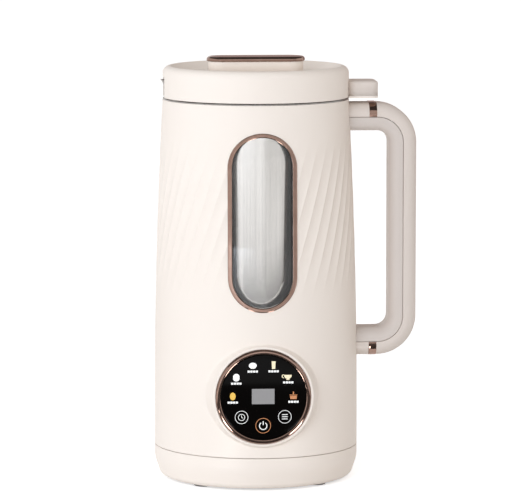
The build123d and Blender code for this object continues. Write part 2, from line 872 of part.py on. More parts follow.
# Lid cover: skirt, rounded rim, shallow dish, side tab and the notch for the beak
lid_top_z = lid_bottom_z + lid_height
dish_z = lid_top_z - dish_depth
dish_under_z = dish_z - lid_wall
tab_low_z = rim_top_z + tab_cover_thickness
tab_top_z = rim_top_z + tab_height
skirt_inner = lid_radius - lid_wall
tab_root_x = skirt_inner - tab_corner
tab_middle_x = (tab_root_x + tab_reach) / 2
tab_hollow_x = lid_radius + face_gap
liner_low_z = rim_top_z - liner_drop
liner_radius = cup_radius - liner_gap
post_low_z = dish_under_z - lid_post_height
grip_top_z = dish_z + grip_height

with BuildPart() as lid_cover:
    with BuildSketch(Plane.XY.offset(tab_low_z)):
        with Locations((tab_middle_x, 0)):
            RectangleRounded(tab_reach - tab_root_x, tab_width, tab_corner)
    extrude(amount=tab_top_z - tab_low_z)
    fillet(edges().group_by(Axis.Z)[-1], radius=tab_round)
    with BuildSketch(Plane.XY.offset(tab_low_z)):
        with Locations(((tab_hollow_x + tab_reach - tab_wall) / 2, 0)):
            RectangleRounded(
                tab_reach - tab_wall - tab_hollow_x, tab_width - 2 * tab_wall, tab_corner - tab_wall
            )
    extrude(amount=tab_top_z - tab_low_z - tab_wall, mode=Mode.SUBTRACT)
    with BuildSketch(Plane.XY.offset(tab_low_z - overrun)):
        Circle(lid_radius - lid_wall / 2)
    extrude(amount=tab_height + 2 * overrun, mode=Mode.SUBTRACT)
    with BuildSketch(Plane.XZ):
        with BuildLine():
            FilletPolyline(
                (0, dish_z),
                (dish_floor_radius, dish_z),
                (lid_radius - lid_ledge, lid_top_z),
                (lid_radius, lid_top_z),
                (lid_radius, lid_bottom_z),
                (skirt_inner, lid_bottom_z),
                (skirt_inner, lid_top_z - lid_wall),
                (lid_radius - lid_ledge + lid_wall / 2, lid_top_z - lid_wall),
                (dish_floor_radius + lid_wall / 3, dish_under_z),
                (0, dish_under_z),
                radius=[
                    dish_floor_round,
                    dish_edge_round,
                    lid_round,
                    lid_edge_round,
                    lid_edge_round,
                    lid_edge_round,
                    lid_edge_round,
                    dish_floor_round,
                ],
            )
            Line((0, dish_under_z), (0, dish_z))
        make_face()
    revolve(axis=Axis.Z)
    with BuildSketch(Plane.XY.offset(post_low_z)):
        with PolarLocations(lid_post_circle, 4, start_angle=45):
            Circle(lid_post_radius)
    extrude(amount=lid_post_height)
    with BuildSketch(Plane.XY.offset(post_low_z)):
        with PolarLocations(lid_post_circle, 4, start_angle=45):
            Circle(lid_screw_shank + screw_fit)
    extrude(amount=lid_post_height, mode=Mode.SUBTRACT)
    with BuildSketch(Plane.XY.offset(dish_under_z)):
        with Locations((-grip_screw_spacing / 2, 0), (grip_screw_spacing / 2, 0)):
            Circle(lid_screw_shank + press_gap)
    extrude(amount=lid_wall, mode=Mode.SUBTRACT)
    with BuildSketch(Plane.YZ.offset(-skirt_inner + lid_wall)):
        with Locations((0, lid_bottom_z + notch_height / 2 - overrun / 2)):
            RectangleRounded(2 * notch_half_width, notch_height + overrun, tab_wall)
    extrude(amount=-2 * overrun, mode=Mode.SUBTRACT)
lid_cover.part.label = "lid_cover"
export_step(lid_cover.part, "parts/lid_cover.step")

with BuildPart() as tab_cover:
    with BuildSketch(Plane.XY.offset(rim_top_z)):
        with Locations((tab_middle_x, 0)):
            RectangleRounded(tab_reach - tab_root_x, tab_width, tab_corner)
        Circle(lid_radius + face_gap, mode=Mode.SUBTRACT)
    extrude(amount=tab_cover_thickness)
    with BuildSketch(Plane.XY.offset(tab_low_z)):
        with Locations((magnet_x, 0)):
            Circle(magnet_radius + press_gap + magnet_collar_wall)
            Circle(magnet_radius + press_gap, mode=Mode.SUBTRACT)
    extrude(amount=magnet_collar)
tab_cover.part.label = "tab_cover"
export_step(tab_cover.part, "parts/tab_cover.step")

with BuildPart() as tab_magnet:
    with BuildSketch(Plane.XY.offset(tab_low_z)):
        with Locations((magnet_x, 0)):
            Circle(magnet_radius)
    extrude(amount=magnet_height)
tab_magnet.part.label = "tab_magnet"
export_step(tab_magnet.part, "parts/tab_magnet.step")

# Lid liner: the plug inside the cup's neck, with its seal groove, pouring slots and screw posts
groove_low_z = liner_low_z + seal_seat
slot_low_z = groove_low_z + seal_height + seal_depth
with BuildPart() as lid_liner:
    with BuildSketch(Plane.XY.offset(liner_low_z)):
        Circle(liner_radius)
    extrude(amount=dish_under_z - liner_low_z)
    with BuildSketch(Plane.XY.offset(liner_low_z + liner_floor)):
        Circle(liner_radius - liner_wall)
    extrude(amount=dish_under_z - liner_low_z - 2 * liner_floor, mode=Mode.SUBTRACT)
    with BuildSketch(Plane.XY.offset(dish_under_z - liner_floor)):
        Circle(liner_radius - liner_flange)
    extrude(amount=liner_floor, mode=Mode.SUBTRACT)
    with BuildSketch(Plane.XY.offset(groove_low_z)):
        Circle(liner_radius + overrun)
        Circle(liner_radius - seal_depth, mode=Mode.SUBTRACT)
    extrude(amount=seal_height, mode=Mode.SUBTRACT)
    with BuildSketch(Plane.XY.offset(liner_low_z + liner_floor)):
        with PolarLocations(lid_post_circle, 4, start_angle=45):
            Circle(lid_post_radius)
    extrude(amount=post_low_z - press_gap - liner_low_z - liner_floor)
    with BuildSketch(Plane.XY.offset(liner_low_z)):
        with PolarLocations(lid_post_circle, 4, start_angle=45):
            Circle(lid_screw_shank + press_gap)
    extrude(amount=dish_under_z - liner_low_z, mode=Mode.SUBTRACT)
    with BuildSketch(Plane.XY.offset(liner_low_z)):
        with PolarLocations(lid_post_circle, 4, start_angle=45):
            Circle(lid_screw_head + press_gap)
    extrude(amount=lid_screw_head_height + press_gap, mode=Mode.SUBTRACT)
    with BuildSketch(Plane.YZ.offset(-liner_radius - overrun)):
        with Locations((0, slot_low_z + slot_height / 2)):
            with GridLocations(slot_pitch, slot_height, slot_count, 1):
                Rectangle(slot_width, slot_height)
    extrude(amount=2 * overrun, mode=Mode.SUBTRACT)
    with BuildSketch(Plane.XY.offset(liner_low_z)):
        with Locations((-vent_circle, 0)):
            with GridLocations(vent_pitch, vent_pitch, 1, 3):
                Circle(vent_radius)
    extrude(amount=liner_floor, mode=Mode.SUBTRACT)
lid_liner.part.label = "lid_liner"
export_step(lid_liner.part, "parts/lid_liner.step")

with BuildPart() as lid_seal:
    with BuildSketch(Plane.XY.offset(groove_low_z + press_gap)):
        Circle(cup_radius - face_gap)
        Circle(liner_radius - seal_depth + press_gap, mode=Mode.SUBTRACT)
    extrude(amount=seal_height - 2 * press_gap)
    fillet(edges().filter_by(GeomType.CIRCLE).sort_by(SortBy.RADIUS)[-2:], radius=seal_height / 4)
lid_seal.part.label = "lid_seal"
export_step(lid_seal.part, "parts/lid_seal.step")

with BuildPart() as lid_screws:
    with BuildSketch(Plane.XY.offset(liner_low_z + press_gap)):
        with PolarLocations(lid_post_circle, 4, start_angle=45):
            Circle(lid_screw_head)
    extrude(amount=lid_screw_head_height)
    with BuildSketch(Plane.XY.offset(liner_low_z + press_gap)):
        with PolarLocations(lid_post_circle, 4, start_angle=45):
            Circle(lid_screw_shank)
    extrude(amount=lid_screw_length)
    with BuildSketch(Plane.XY.offset(dish_under_z - lid_screw_head_height)):
        with Locations((-grip_screw_spacing / 2, 0), (grip_screw_spacing / 2, 0)):
            Circle(lid_screw_head)
    extrude(amount=lid_screw_head_height)
    with BuildSketch(Plane.XY.offset(dish_under_z)):
        with Locations((-grip_screw_spacing / 2, 0), (grip_screw_spacing / 2, 0)):
            Circle(lid_screw_shank)
    extrude(amount=grip_height - grip_wall + lid_wall - face_gap)
lid_screws.part.label = "lid_screws"
export_step(lid_screws.part, "parts/lid_screws.step")

with BuildPart() as lid_grip:
    with BuildSketch(Plane.XY.offset(dish_z)):
        SlotOverall(grip_length, grip_width)
    extrude(amount=grip_height)
    with BuildSketch(Plane.XY.offset(dish_z)):
        SlotOverall(grip_length - 2 * grip_wall, grip_width - 2 * grip_wall)
        with Locations((-grip_screw_spacing / 2, 0), (grip_screw_spacing / 2, 0)):
            Circle(lid_post_radius, mode=Mode.SUBTRACT)
    extrude(amount=grip_height - grip_wall, mode=Mode.SUBTRACT)
    with BuildSketch(Plane.XY.offset(dish_z)):
        with Locations((-grip_screw_spacing / 2, 0), (grip_screw_spacing / 2, 0)):
            Circle(lid_screw_shank + screw_fit)
    extrude(amount=grip_height - grip_wall, mode=Mode.SUBTRACT)
lid_grip.part.label = "lid_grip"
export_step(lid_grip.part, "parts/lid_grip.step")

with BuildPart() as grip_trim:
    with BuildSketch(Plane.XY.offset(grip_top_z)):
        SlotOverall(grip_length + 2 * trim_overhang, grip_width + 2 * trim_overhang)
    extrude(amount=trim_height)
    fillet(edges().group_by(Axis.Z)[-1], radius=trim_top_round)
    fillet(edges().group_by(Axis.Z)[0], radius=trim_bottom_round)
grip_trim.part.label = "grip_trim"
export_step(grip_trim.part, "parts/grip_trim.step")

# Heater under the cup: die-cast plate with motor bosses, tubular element, temperature probe and thermal cut-out
heater_low_z = cup_under_z - heater_thickness
boss_low_z = heater_low_z - boss_height
tube_z = heater_low_z - tube_radius - press_gap

with BuildPart() as heater_plate:
    with BuildSketch(Plane.XY.offset(heater_low_z)):
        Circle(heater_radius)
    extrude(amount=heater_thickness)
    with BuildSketch(Plane.XY.offset(boss_low_z)):
        with PolarLocations(damper_circle, 4):
            Circle(damper_radius - face_gap)
    extrude(amount=boss_height)
    with BuildSketch(Plane.XY.offset(boss_low_z)):
        Circle(housing_barrel + press_gap)
    extrude(amount=boss_height + heater_thickness, mode=Mode.SUBTRACT)
    with BuildSketch(Plane.XY.offset(boss_low_z)):
        with PolarLocations(damper_circle, 4):
            Circle(motor_screw_shank + screw_fit)
    extrude(amount=motor_screw_bite + face_gap, mode=Mode.SUBTRACT)
heater_plate.part.label = "heater_plate"
export_step(heater_plate.part, "parts/heater_plate.step")

with BuildPart() as heater_element:
    with BuildSketch(Plane.XZ):
        with Locations((tube_circle, tube_z)):
            Circle(tube_radius)
    revolve(axis=Axis.Z, revolution_arc=tube_sweep)
    with BuildSketch(Plane.XY.offset(tube_z - terminal_length)):
        with PolarLocations(tube_circle, 2, angular_range=tube_sweep, endpoint=True):
            Circle(terminal_radius)
    extrude(amount=terminal_length)
heater_element.part.label = "heater_element"
export_step(heater_element.part, "parts/heater_element.step")

with BuildPart() as temperature_probe:
    with BuildSketch(Plane.XY.offset(heater_low_z - thermistor_length)):
        with PolarLocations(probe_circle, 1, start_angle=thermistor_angle):
            Circle(thermistor_radius)
    extrude(amount=thermistor_length)
    with BuildSketch(Plane.XY.offset(heater_low_z - thermistor_flange / 2)):
        with PolarLocations(probe_circle, 1, start_angle=thermistor_angle):
            Circle(thermistor_flange)
    extrude(amount=thermistor_flange / 2)
temperature_probe.part.label = "temperature_probe"
export_step(temperature_probe.part, "parts/temperature_probe.step")

with BuildPart() as thermal_cutout:
    with BuildSketch(Plane.XY.offset(heater_low_z - cutout_height)):
        with PolarLocations(probe_circle, 1, start_angle=cutout_angle):
            Circle(cutout_radius)
    extrude(amount=cutout_height)
    with BuildSketch(Plane.XY.offset(heater_low_z - cutout_height - cutout_cap_height)):
        with PolarLocations(probe_circle, 1, start_angle=cutout_angle):
            Circle(cutout_cap_radius)
    extrude(amount=cutout_cap_height)
thermal_cutout.part.label = "thermal_cutout"
export_step(thermal_cutout.part, "parts/thermal_cutout.step")

# Shaft seal housing, clamped through the cup's floor and the heater plate by a nut
housing_top_z = cup_floor_z + housing_flange_thickness
housing_low_z = cup_under_z - housing_length
bush_low_z = housing_low_z + housing_flange_thickness / 2
seal_low_z = bush_low_z + bush_length

with BuildPart() as seal_housing:
    with BuildSketch(Plane.XY.offset(housing_low_z)):
        Circle(housing_barrel)
    extrude(amount=housing_top_z - housing_low_z)
    with BuildSketch(Plane.XY.offset(cup_floor_z)):
        Circle(housing_flange)
    extrude(amount=housing_flange_thickness)
    fillet(edges().group_by(Axis.Z)[-1], radius=housing_flange_thickness / 2)
    with BuildSketch(Plane.XY.offset(bush_low_z)):
        Circle(housing_bore)
    extrude(amount=housing_top_z - bush_low_z, mode=Mode.SUBTRACT)
    with BuildSketch(Plane.XY.offset(housing_low_z)):
        Circle(shaft_radius + run_gap)
    extrude(amount=bush_low_z - housing_low_z, mode=Mode.SUBTRACT)
seal_housing.part.label = "seal_housing"
export_step(seal_housing.part, "parts/seal_housing.step")

with BuildPart() as housing_nut:
    with BuildSketch(Plane.XY.offset(heater_low_z - nut_thickness)):
        RegularPolygon(nut_width / 2, 6, major_radius=False)
        Circle(housing_barrel + screw_fit, mode=Mode.SUBTRACT)
    extrude(amount=nut_thickness)
housing_nut.part.label = "housing_nut"
export_step(housing_nut.part, "parts/housing_nut.step")

with BuildPart() as shaft_seal:
    with BuildSketch(Plane.XY.offset(seal_low_z)):
        Circle(housing_bore - screw_fit)
        Circle(shaft_radius + shaft_fit, mode=Mode.SUBTRACT)
    extrude(amount=seal_thickness)
shaft_seal.part.label = "shaft_seal"
export_step(shaft_seal.part, "parts/shaft_seal.step")

# Motor, from the top down: dampers, upper bracket, bearing, stator, coils, lower bracket, bush
bracket_top_z = boss_low_z - damper_height
bracket_low_z = bracket_top_z - bracket_thickness
bearing_low_z = bracket_top_z - bearing_width
stator_top_z = bracket_low_z - upper_post_length
stator_low_z = stator_top_z - stator_height
plate_top_z = stator_low_z - lower_post_length
plate_low_z = plate_top_z - bracket_thickness
bush_base_z = plate_top_z - bush_height
race_radius = shaft_radius + bearing_race
slot_side = coil_width + 2 * face_gap
slot_start = stator_bore + pole_tip
slot_end = slot_start + coil_depth + 2 * face_gap
slot_top = pole_half + slot_side

with BuildPart() as motor_dampers:
    with BuildSketch(Plane.XY.offset(bracket_top_z)):
        with PolarLocations(damper_circle, 4):
            Circle(damper_radius)
            Circle(motor_screw_shank + press_gap, mode=Mode.SUBTRACT)
    extrude(amount=damper_height)
motor_dampers.part.label = "motor_dampers"
export_step(motor_dampers.part, "parts/motor_dampers.step")

with BuildPart() as motor_screws:
    with BuildSketch(Plane.XY.offset(bracket_low_z - motor_screw_head_height)):
        with PolarLocations(damper_circle, 4):
            Circle(motor_screw_head)
    extrude(amount=motor_screw_head_height)
    with BuildSketch(Plane.XY.offset(bracket_low_z)):
        with PolarLocations(damper_circle, 4):
            Circle(motor_screw_shank)
    extrude(amount=bracket_thickness + damper_height + motor_screw_bite)
motor_screws.part.label = "motor_screws"
export_step(motor_screws.part, "parts/motor_screws.step")

with BuildPart() as upper_bracket:
    with BuildSketch(Plane.XY.offset(bracket_low_z)):
        RectangleRounded(stator_side, stator_side, stator_corner)
        Rectangle(2 * damper_circle, bracket_arm)
        Rectangle(bracket_arm, 2 * damper_circle)
        with PolarLocations(damper_circle, 4):
            Circle(bracket_arm / 2)
    extrude(amount=bracket_thickness)
    with BuildSketch(Plane.XY.offset(bearing_low_z)):
        Circle(bracket_hub)
    extrude(amount=bearing_width + bearing_lip)
    with BuildSketch(Plane.XY.offset(stator_top_z)):
        with GridLocations(2 * bolt_offset, 2 * bolt_offset, 2, 2):
            Circle(bracket_post_radius)
    extrude(amount=upper_post_length)
    with BuildSketch(Plane.XY.offset(bearing_low_z)):
        Circle(bearing_radius + screw_fit)
    extrude(amount=bearing_width, mode=Mode.SUBTRACT)
    with BuildSketch(Plane.XY.offset(bearing_low_z)):
        Circle(race_radius + run_gap)
    extrude(amount=bearing_width + bearing_lip, mode=Mode.SUBTRACT)
    with BuildSketch(Plane.XY.offset(stator_top_z)):
        with GridLocations(2 * bolt_offset, 2 * bolt_offset, 2, 2):
            Circle(bolt_radius + screw_fit)
    extrude(amount=upper_post_length + bracket_thickness, mode=Mode.SUBTRACT)
    with BuildSketch(Plane.XY.offset(bracket_low_z)):
        with PolarLocations(damper_circle, 4):
            Circle(motor_screw_shank + press_gap)
    extrude(amount=bracket_thickness, mode=Mode.SUBTRACT)
upper_bracket.part.label = "upper_bracket"
export_step(upper_bracket.part, "parts/upper_bracket.step")

with BuildPart() as motor_bearing:
    with BuildSketch(Plane.XY.offset(bearing_low_z)):
        Circle(bearing_radius)
        Circle(shaft_radius + shaft_fit, mode=Mode.SUBTRACT)
    extrude(amount=bearing_width)
motor_bearing.part.label = "motor_bearing"
export_step(motor_bearing.part, "parts/motor_bearing.step")

with BuildPart() as stator_core:
    with BuildSketch(Plane.XY.offset(stator_low_z)):
        RectangleRounded(stator_side, stator_side, stator_corner)
        Circle(stator_bore, mode=Mode.SUBTRACT)
        with GridLocations(slot_start + slot_end, pole_half + slot_top, 2, 2):
            Rectangle(slot_end - slot_start, slot_side, mode=Mode.SUBTRACT)
        with GridLocations(tip_gap, 2 * slot_top - tip_gap, 1, 2):
            Rectangle(2 * slot_end, tip_gap, mode=Mode.SUBTRACT)
        Rectangle(2 * tip_half, 2 * slot_top, mode=Mode.SUBTRACT)
        with GridLocations(2 * bolt_offset, 2 * bolt_offset, 2, 2):
            Circle(bolt_radius + press_gap, mode=Mode.SUBTRACT)
    extrude(amount=stator_height)
stator_core.part.label = "stator_core"
export_step(stator_core.part, "parts/stator_core.step")

with BuildPart() as field_coils:
    for side in (-1, 1):
        with BuildSketch(Plane.YZ.offset(side * (slot_start + slot_end) / 2 - coil_depth / 2)):
            with Locations((0, (stator_top_z + stator_low_z) / 2)):
                RectangleRounded(
                    2 * (slot_top - face_gap), stator_height + 2 * (coil_width + face_gap), coil_corner
                )
                Rectangle(2 * (pole_half + face_gap), stator_height + 2 * face_gap, mode=Mode.SUBTRACT)
        extrude(amount=coil_depth)
field_coils.part.label = "field_coils"
export_step(field_coils.part, "parts/field_coils.step")

with BuildPart() as shaft_bushes:
    with BuildSketch(Plane.XY.offset(bush_base_z)):
        Circle(bush_radius)
        Circle(shaft_radius + shaft_fit, mode=Mode.SUBTRACT)
    extrude(amount=bush_height)
    with BuildSketch(Plane.XY.offset(bush_low_z)):
        Circle(housing_bore - screw_fit)
        Circle(shaft_radius + shaft_fit, mode=Mode.SUBTRACT)
    extrude(amount=bush_length)
shaft_bushes.part.label = "shaft_bushes"
export_step(shaft_bushes.part, "parts/shaft_bushes.step")

with BuildPart() as stator_bolts:
    with BuildSketch(Plane.XY.offset(plate_low_z - motor_screw_head_height)):
        with GridLocations(2 * bolt_offset, 2 * bolt_offset, 2, 2):
            Circle(motor_screw_head)
    extrude(amount=motor_screw_head_height)
    with BuildSketch(Plane.XY.offset(plate_low_z)):
        with GridLocations(2 * bolt_offset, 2 * bolt_offset, 2, 2):
            Circle(bolt_radius)
    extrude(amount=bracket_top_z - plate_low_z)
stator_bolts.part.label = "stator_bolts"
export_step(stator_bolts.part, "parts/stator_bolts.step")

# Brushes on the lower bracket, one each side of the commutator along Y
commutator_low_z = plate_top_z + commutator_rise
brush_z = commutator_low_z + commutator_height / 2
brush_start = commutator_radius + run_gap
box_side = brush_side + 2 * (press_gap + brush_box_wall)
box_start = brush_start + brush_length / 4
box_top_z = brush_z + box_side / 2

with BuildPart() as carbon_brushes:
    for side in (-1, 1):
        with BuildSketch(Plane.XZ.offset(side * brush_start)):
            with Locations((0, brush_z)):
                Rectangle(brush_side, brush_side)
        extrude(amount=side * brush_length)
carbon_brushes.part.label = "carbon_brushes"
export_step(carbon_brushes.part, "parts/carbon_brushes.step")

with BuildPart() as lower_bracket:
    with BuildSketch(Plane.XY.offset(plate_low_z)):
        RectangleRounded(stator_side, stator_side, stator_corner)
        with GridLocations(bracket_core, bracket_core, 2, 2):
            Circle(bracket_arm / 2, mode=Mode.SUBTRACT)
    extrude(amount=bracket_thickness)
    with BuildSketch(Plane.XY.offset(bush_base_z)):
        Circle(bush_hub)
    extrude(amount=bush_height)
    with BuildSketch(Plane.XY.offset(plate_top_z)):
        with GridLocations(2 * bolt_offset, 2 * bolt_offset, 2, 2):
            Circle(bracket_post_radius)
    extrude(amount=lower_post_length)
    for side in (-1, 1):
        with BuildSketch(Plane.XZ.offset(side * box_start)):
            with Locations((0, (box_top_z + plate_low_z) / 2)):
                Rectangle(box_side, box_top_z - plate_low_z)
        extrude(amount=side * (brush_length + brush_box_wall))
        with BuildSketch(Plane.XZ.offset(side * box_start)):
            with Locations((0, brush_z)):
                Rectangle(brush_side + 2 * press_gap, brush_side + 2 * press_gap)
        extrude(amount=side * brush_length, mode=Mode.SUBTRACT)
    with BuildSketch(Plane.XY.offset(bush_base_z)):
        Circle(bush_radius + screw_fit)
    extrude(amount=bush_height, mode=Mode.SUBTRACT)
    with BuildSketch(Plane.XY.offset(plate_low_z)):
        with GridLocations(2 * bolt_offset, 2 * bolt_offset, 2, 2):
            Circle(bolt_radius + press_gap)
    extrude(amount=bracket_thickness + lower_post_length, mode=Mode.SUBTRACT)
lower_bracket.part.label = "lower_bracket"
export_step(lower_bracket.part, "parts/lower_bracket.step")

# Turning pieces on one shaft
fan_top_z = bush_base_z - fan_gap
fan_low_z = fan_top_z - fan_height
shaft_low_z = fan_low_z - shaft_tail
sleeve_low_z = housing_top_z + run_gap
sleeve_top_z = sleeve_low_z + sleeve_length
lower_blade_top_z = sleeve_top_z + blade_thickness
spacer_top_z = lower_blade_top_z + blade_spacing
upper_blade_top_z = spacer_top_z + blade_thickness
nut_bore_depth = cap_nut_height - blade_thickness
rotor_low_z = (stator_top_z + stator_low_z - rotor_height) / 2
rotor_radius = stator_bore - run_gap

with BuildPart() as drive_shaft:
    with BuildSketch(Plane.XY.offset(shaft_low_z)):
        Circle(shaft_radius)
    extrude(amount=sleeve_top_z - shaft_low_z)
    with BuildSketch(Plane.XY.offset(sleeve_top_z)):
        Circle(shaft_radius)
        Rectangle(shaft_flat, 2 * shaft_radius, mode=Mode.INTERSECT)
    extrude(amount=upper_blade_top_z - sleeve_top_z)
    with BuildSketch(Plane.XY.offset(upper_blade_top_z)):
        Circle(thread_radius)
    extrude(amount=nut_bore_depth - face_gap)
    chamfer(edges().group_by(Axis.Z)[-1], length=face_gap)
drive_shaft.part.label = "drive_shaft"
export_step(drive_shaft.part, "parts/drive_shaft.step")


def blade(low_z, reach, bend, turn):
    """Two-armed blade: a flat hub with a keyed hole and two ground arms bent up or down."""
    with BuildPart(mode=Mode.PRIVATE) as arms:
        with BuildSketch(Plane.XY.offset(low_z)):
            Circle(blade_hub + blade_thickness)
        extrude(amount=blade_thickness)
        for angle in (turn, turn + 180):
            outward = Vector(cos(radians(angle)), sin(radians(angle)), 0)
            along = outward * cos(radians(bend)) + Vector(0, 0, sin(radians(bend)))
            root = outward * blade_hub + Vector(0, 0, low_z)
            with BuildSketch(Plane(origin=root, x_dir=Vector(0, 0, 1).cross(outward), z_dir=along)):
                with BuildLine():
                    Polyline(
                        (-blade_width / 2, 0),
                        (blade_width / 2, 0),
                        (blade_width / 2 - blade_edge, blade_thickness),
                        (-blade_width / 2, blade_thickness),
                        close=True,
                    )
                make_face()
            extrude(amount=(reach - blade_hub) / cos(radians(bend)))
        with BuildSketch(Plane.XY.offset(low_z)):
            Circle(shaft_radius + screw_fit)
            Rectangle(shaft_flat + 2 * screw_fit, 2 * blade_hub, mode=Mode.INTERSECT)
        extrude(amount=blade_thickness, mode=Mode.SUBTRACT)
    return arms.part


with BuildPart() as lower_blade:
    add(blade(sleeve_top_z, lower_blade_reach, lower_blade_bend, 0))
lower_blade.part.label = "lower_blade"
export_step(lower_blade.part, "parts/lower_blade.step")

with BuildPart() as blade_spacers:
    with BuildSketch(Plane.XY.offset(sleeve_low_z)):
        Circle(sleeve_radius)
        Circle(shaft_radius + screw_fit, mode=Mode.SUBTRACT)
    extrude(amount=sleeve_length)
    with BuildSketch(Plane.XY.offset(lower_blade_top_z)):
        Circle(blade_hub)
        Circle(shaft_radius + screw_fit, mode=Mode.SUBTRACT)
    extrude(amount=blade_spacing)
blade_spacers.part.label = "blade_spacers"
export_step(blade_spacers.part, "parts/blade_spacers.step")

with BuildPart() as upper_blade:
    add(blade(spacer_top_z, upper_blade_reach, upper_blade_bend, 90))
upper_blade.part.label = "upper_blade"
export_step(upper_blade.part, "parts/upper_blade.step")

with BuildPart() as cap_nut:
    with BuildSketch(Plane.XY.offset(upper_blade_top_z)):
        RegularPolygon(cap_nut_width / 2, 6, major_radius=False)
    extrude(amount=cap_nut_height / 2)
    with BuildSketch(Plane.XY.offset(upper_blade_top_z + cap_nut_height / 2)):
        Circle(cap_nut_width / 2 - face_gap)
    extrude(amount=cap_nut_height / 2)
    fillet(edges().group_by(Axis.Z)[-1], radius=cap_nut_height / 2 - face_gap)
    with BuildSketch(Plane.XY.offset(upper_blade_top_z)):
        Circle(thread_radius + screw_fit)
    extrude(amount=nut_bore_depth, mode=Mode.SUBTRACT)
cap_nut.part.label = "cap_nut"
export_step(cap_nut.part, "parts/cap_nut.step")

with BuildPart() as rotor_core:
    with BuildSketch(Plane.XY.offset(rotor_low_z)):
        Circle(rotor_radius)
        Circle(shaft_radius + screw_fit, mode=Mode.SUBTRACT)
        with PolarLocations(rotor_radius, rotor_slots):
            Rectangle(2 * rotor_slot_depth, rotor_slot_width, mode=Mode.SUBTRACT)
    extrude(amount=rotor_height)
rotor_core.part.label = "rotor_core"
export_step(rotor_core.part, "parts/rotor_core.step")

with BuildPart() as rotor_windings:
    for low_z in (rotor_low_z - winding_height, rotor_low_z + rotor_height):
        with BuildSketch(Plane.XY.offset(low_z)):
            Circle(winding_radius)
            Circle(shaft_radius + face_gap, mode=Mode.SUBTRACT)
        extrude(amount=winding_height)
rotor_windings.part.label = "rotor_windings"
export_step(rotor_windings.part, "parts/rotor_windings.step")

with BuildPart() as commutator:
    with BuildSketch(Plane.XY.offset(commutator_low_z)):
        Circle(commutator_radius)
        Circle(shaft_radius + screw_fit, mode=Mode.SUBTRACT)
        with PolarLocations(commutator_radius, commutator_bars):
            Rectangle(4 * commutator_slit, commutator_slit, mode=Mode.SUBTRACT)
    extrude(amount=commutator_height)
commutator.part.label = "commutator"
export_step(commutator.part, "parts/commutator.step")

with BuildPart() as cooling_fan:
    with BuildSketch(Plane.XY.offset(fan_top_z - fan_disc)):
        Circle(fan_radius)
    extrude(amount=fan_disc)
    with BuildSketch(Plane.XY.offset(fan_low_z)):
        Circle(fan_hub)
    extrude(amount=fan_height)
    with BuildSketch(Plane.XY.offset(fan_low_z)):
        with PolarLocations((fan_hub + fan_radius) / 2, fan_blades):
            Rectangle(fan_blade_length, fan_blade_thickness, rotation=fan_blade_lean)
    extrude(amount=fan_height - fan_disc / 2)
    with BuildSketch(Plane.XY.offset(fan_low_z)):
        Circle(shaft_radius + screw_fit)
    extrude(amount=fan_height, mode=Mode.SUBTRACT)
cooling_fan.part.label = "cooling_fan"
export_step(cooling_fan.part, "parts/cooling_fan.step")

# Support ring under the cup, with four posts down to the base
ring_low_z = cup_under_z - ring_thickness
boss_top_z = base_top_z
with BuildPart() as support_ring:
    with BuildSketch(Plane.XY.offset(ring_low_z)):
        Circle(shell_radius(cup_under_z) - wall - face_gap)
        Circle(ring_inner, mode=Mode.SUBTRACT)
    extrude(amount=ring_thickness)
    with BuildSketch(Plane.XY.offset(boss_top_z + face_gap)):
        with PolarLocations(post_circle, 4, start_angle=45):
            Circle(ring_post_radius)
    extrude(amount=ring_low_z + ring_thickness / 2 - boss_top_z - face_gap)
    with BuildSketch(Plane.XY.offset(boss_top_z + face_gap)):
        with PolarLocations(post_circle, 4, start_angle=45):
            Circle(base_screw_shank + screw_fit)
    extrude(amount=ring_post_hole, mode=Mode.SUBTRACT)
support_ring.part.label = "support_ring"
export_step(support_ring.part, "parts/support_ring.step")

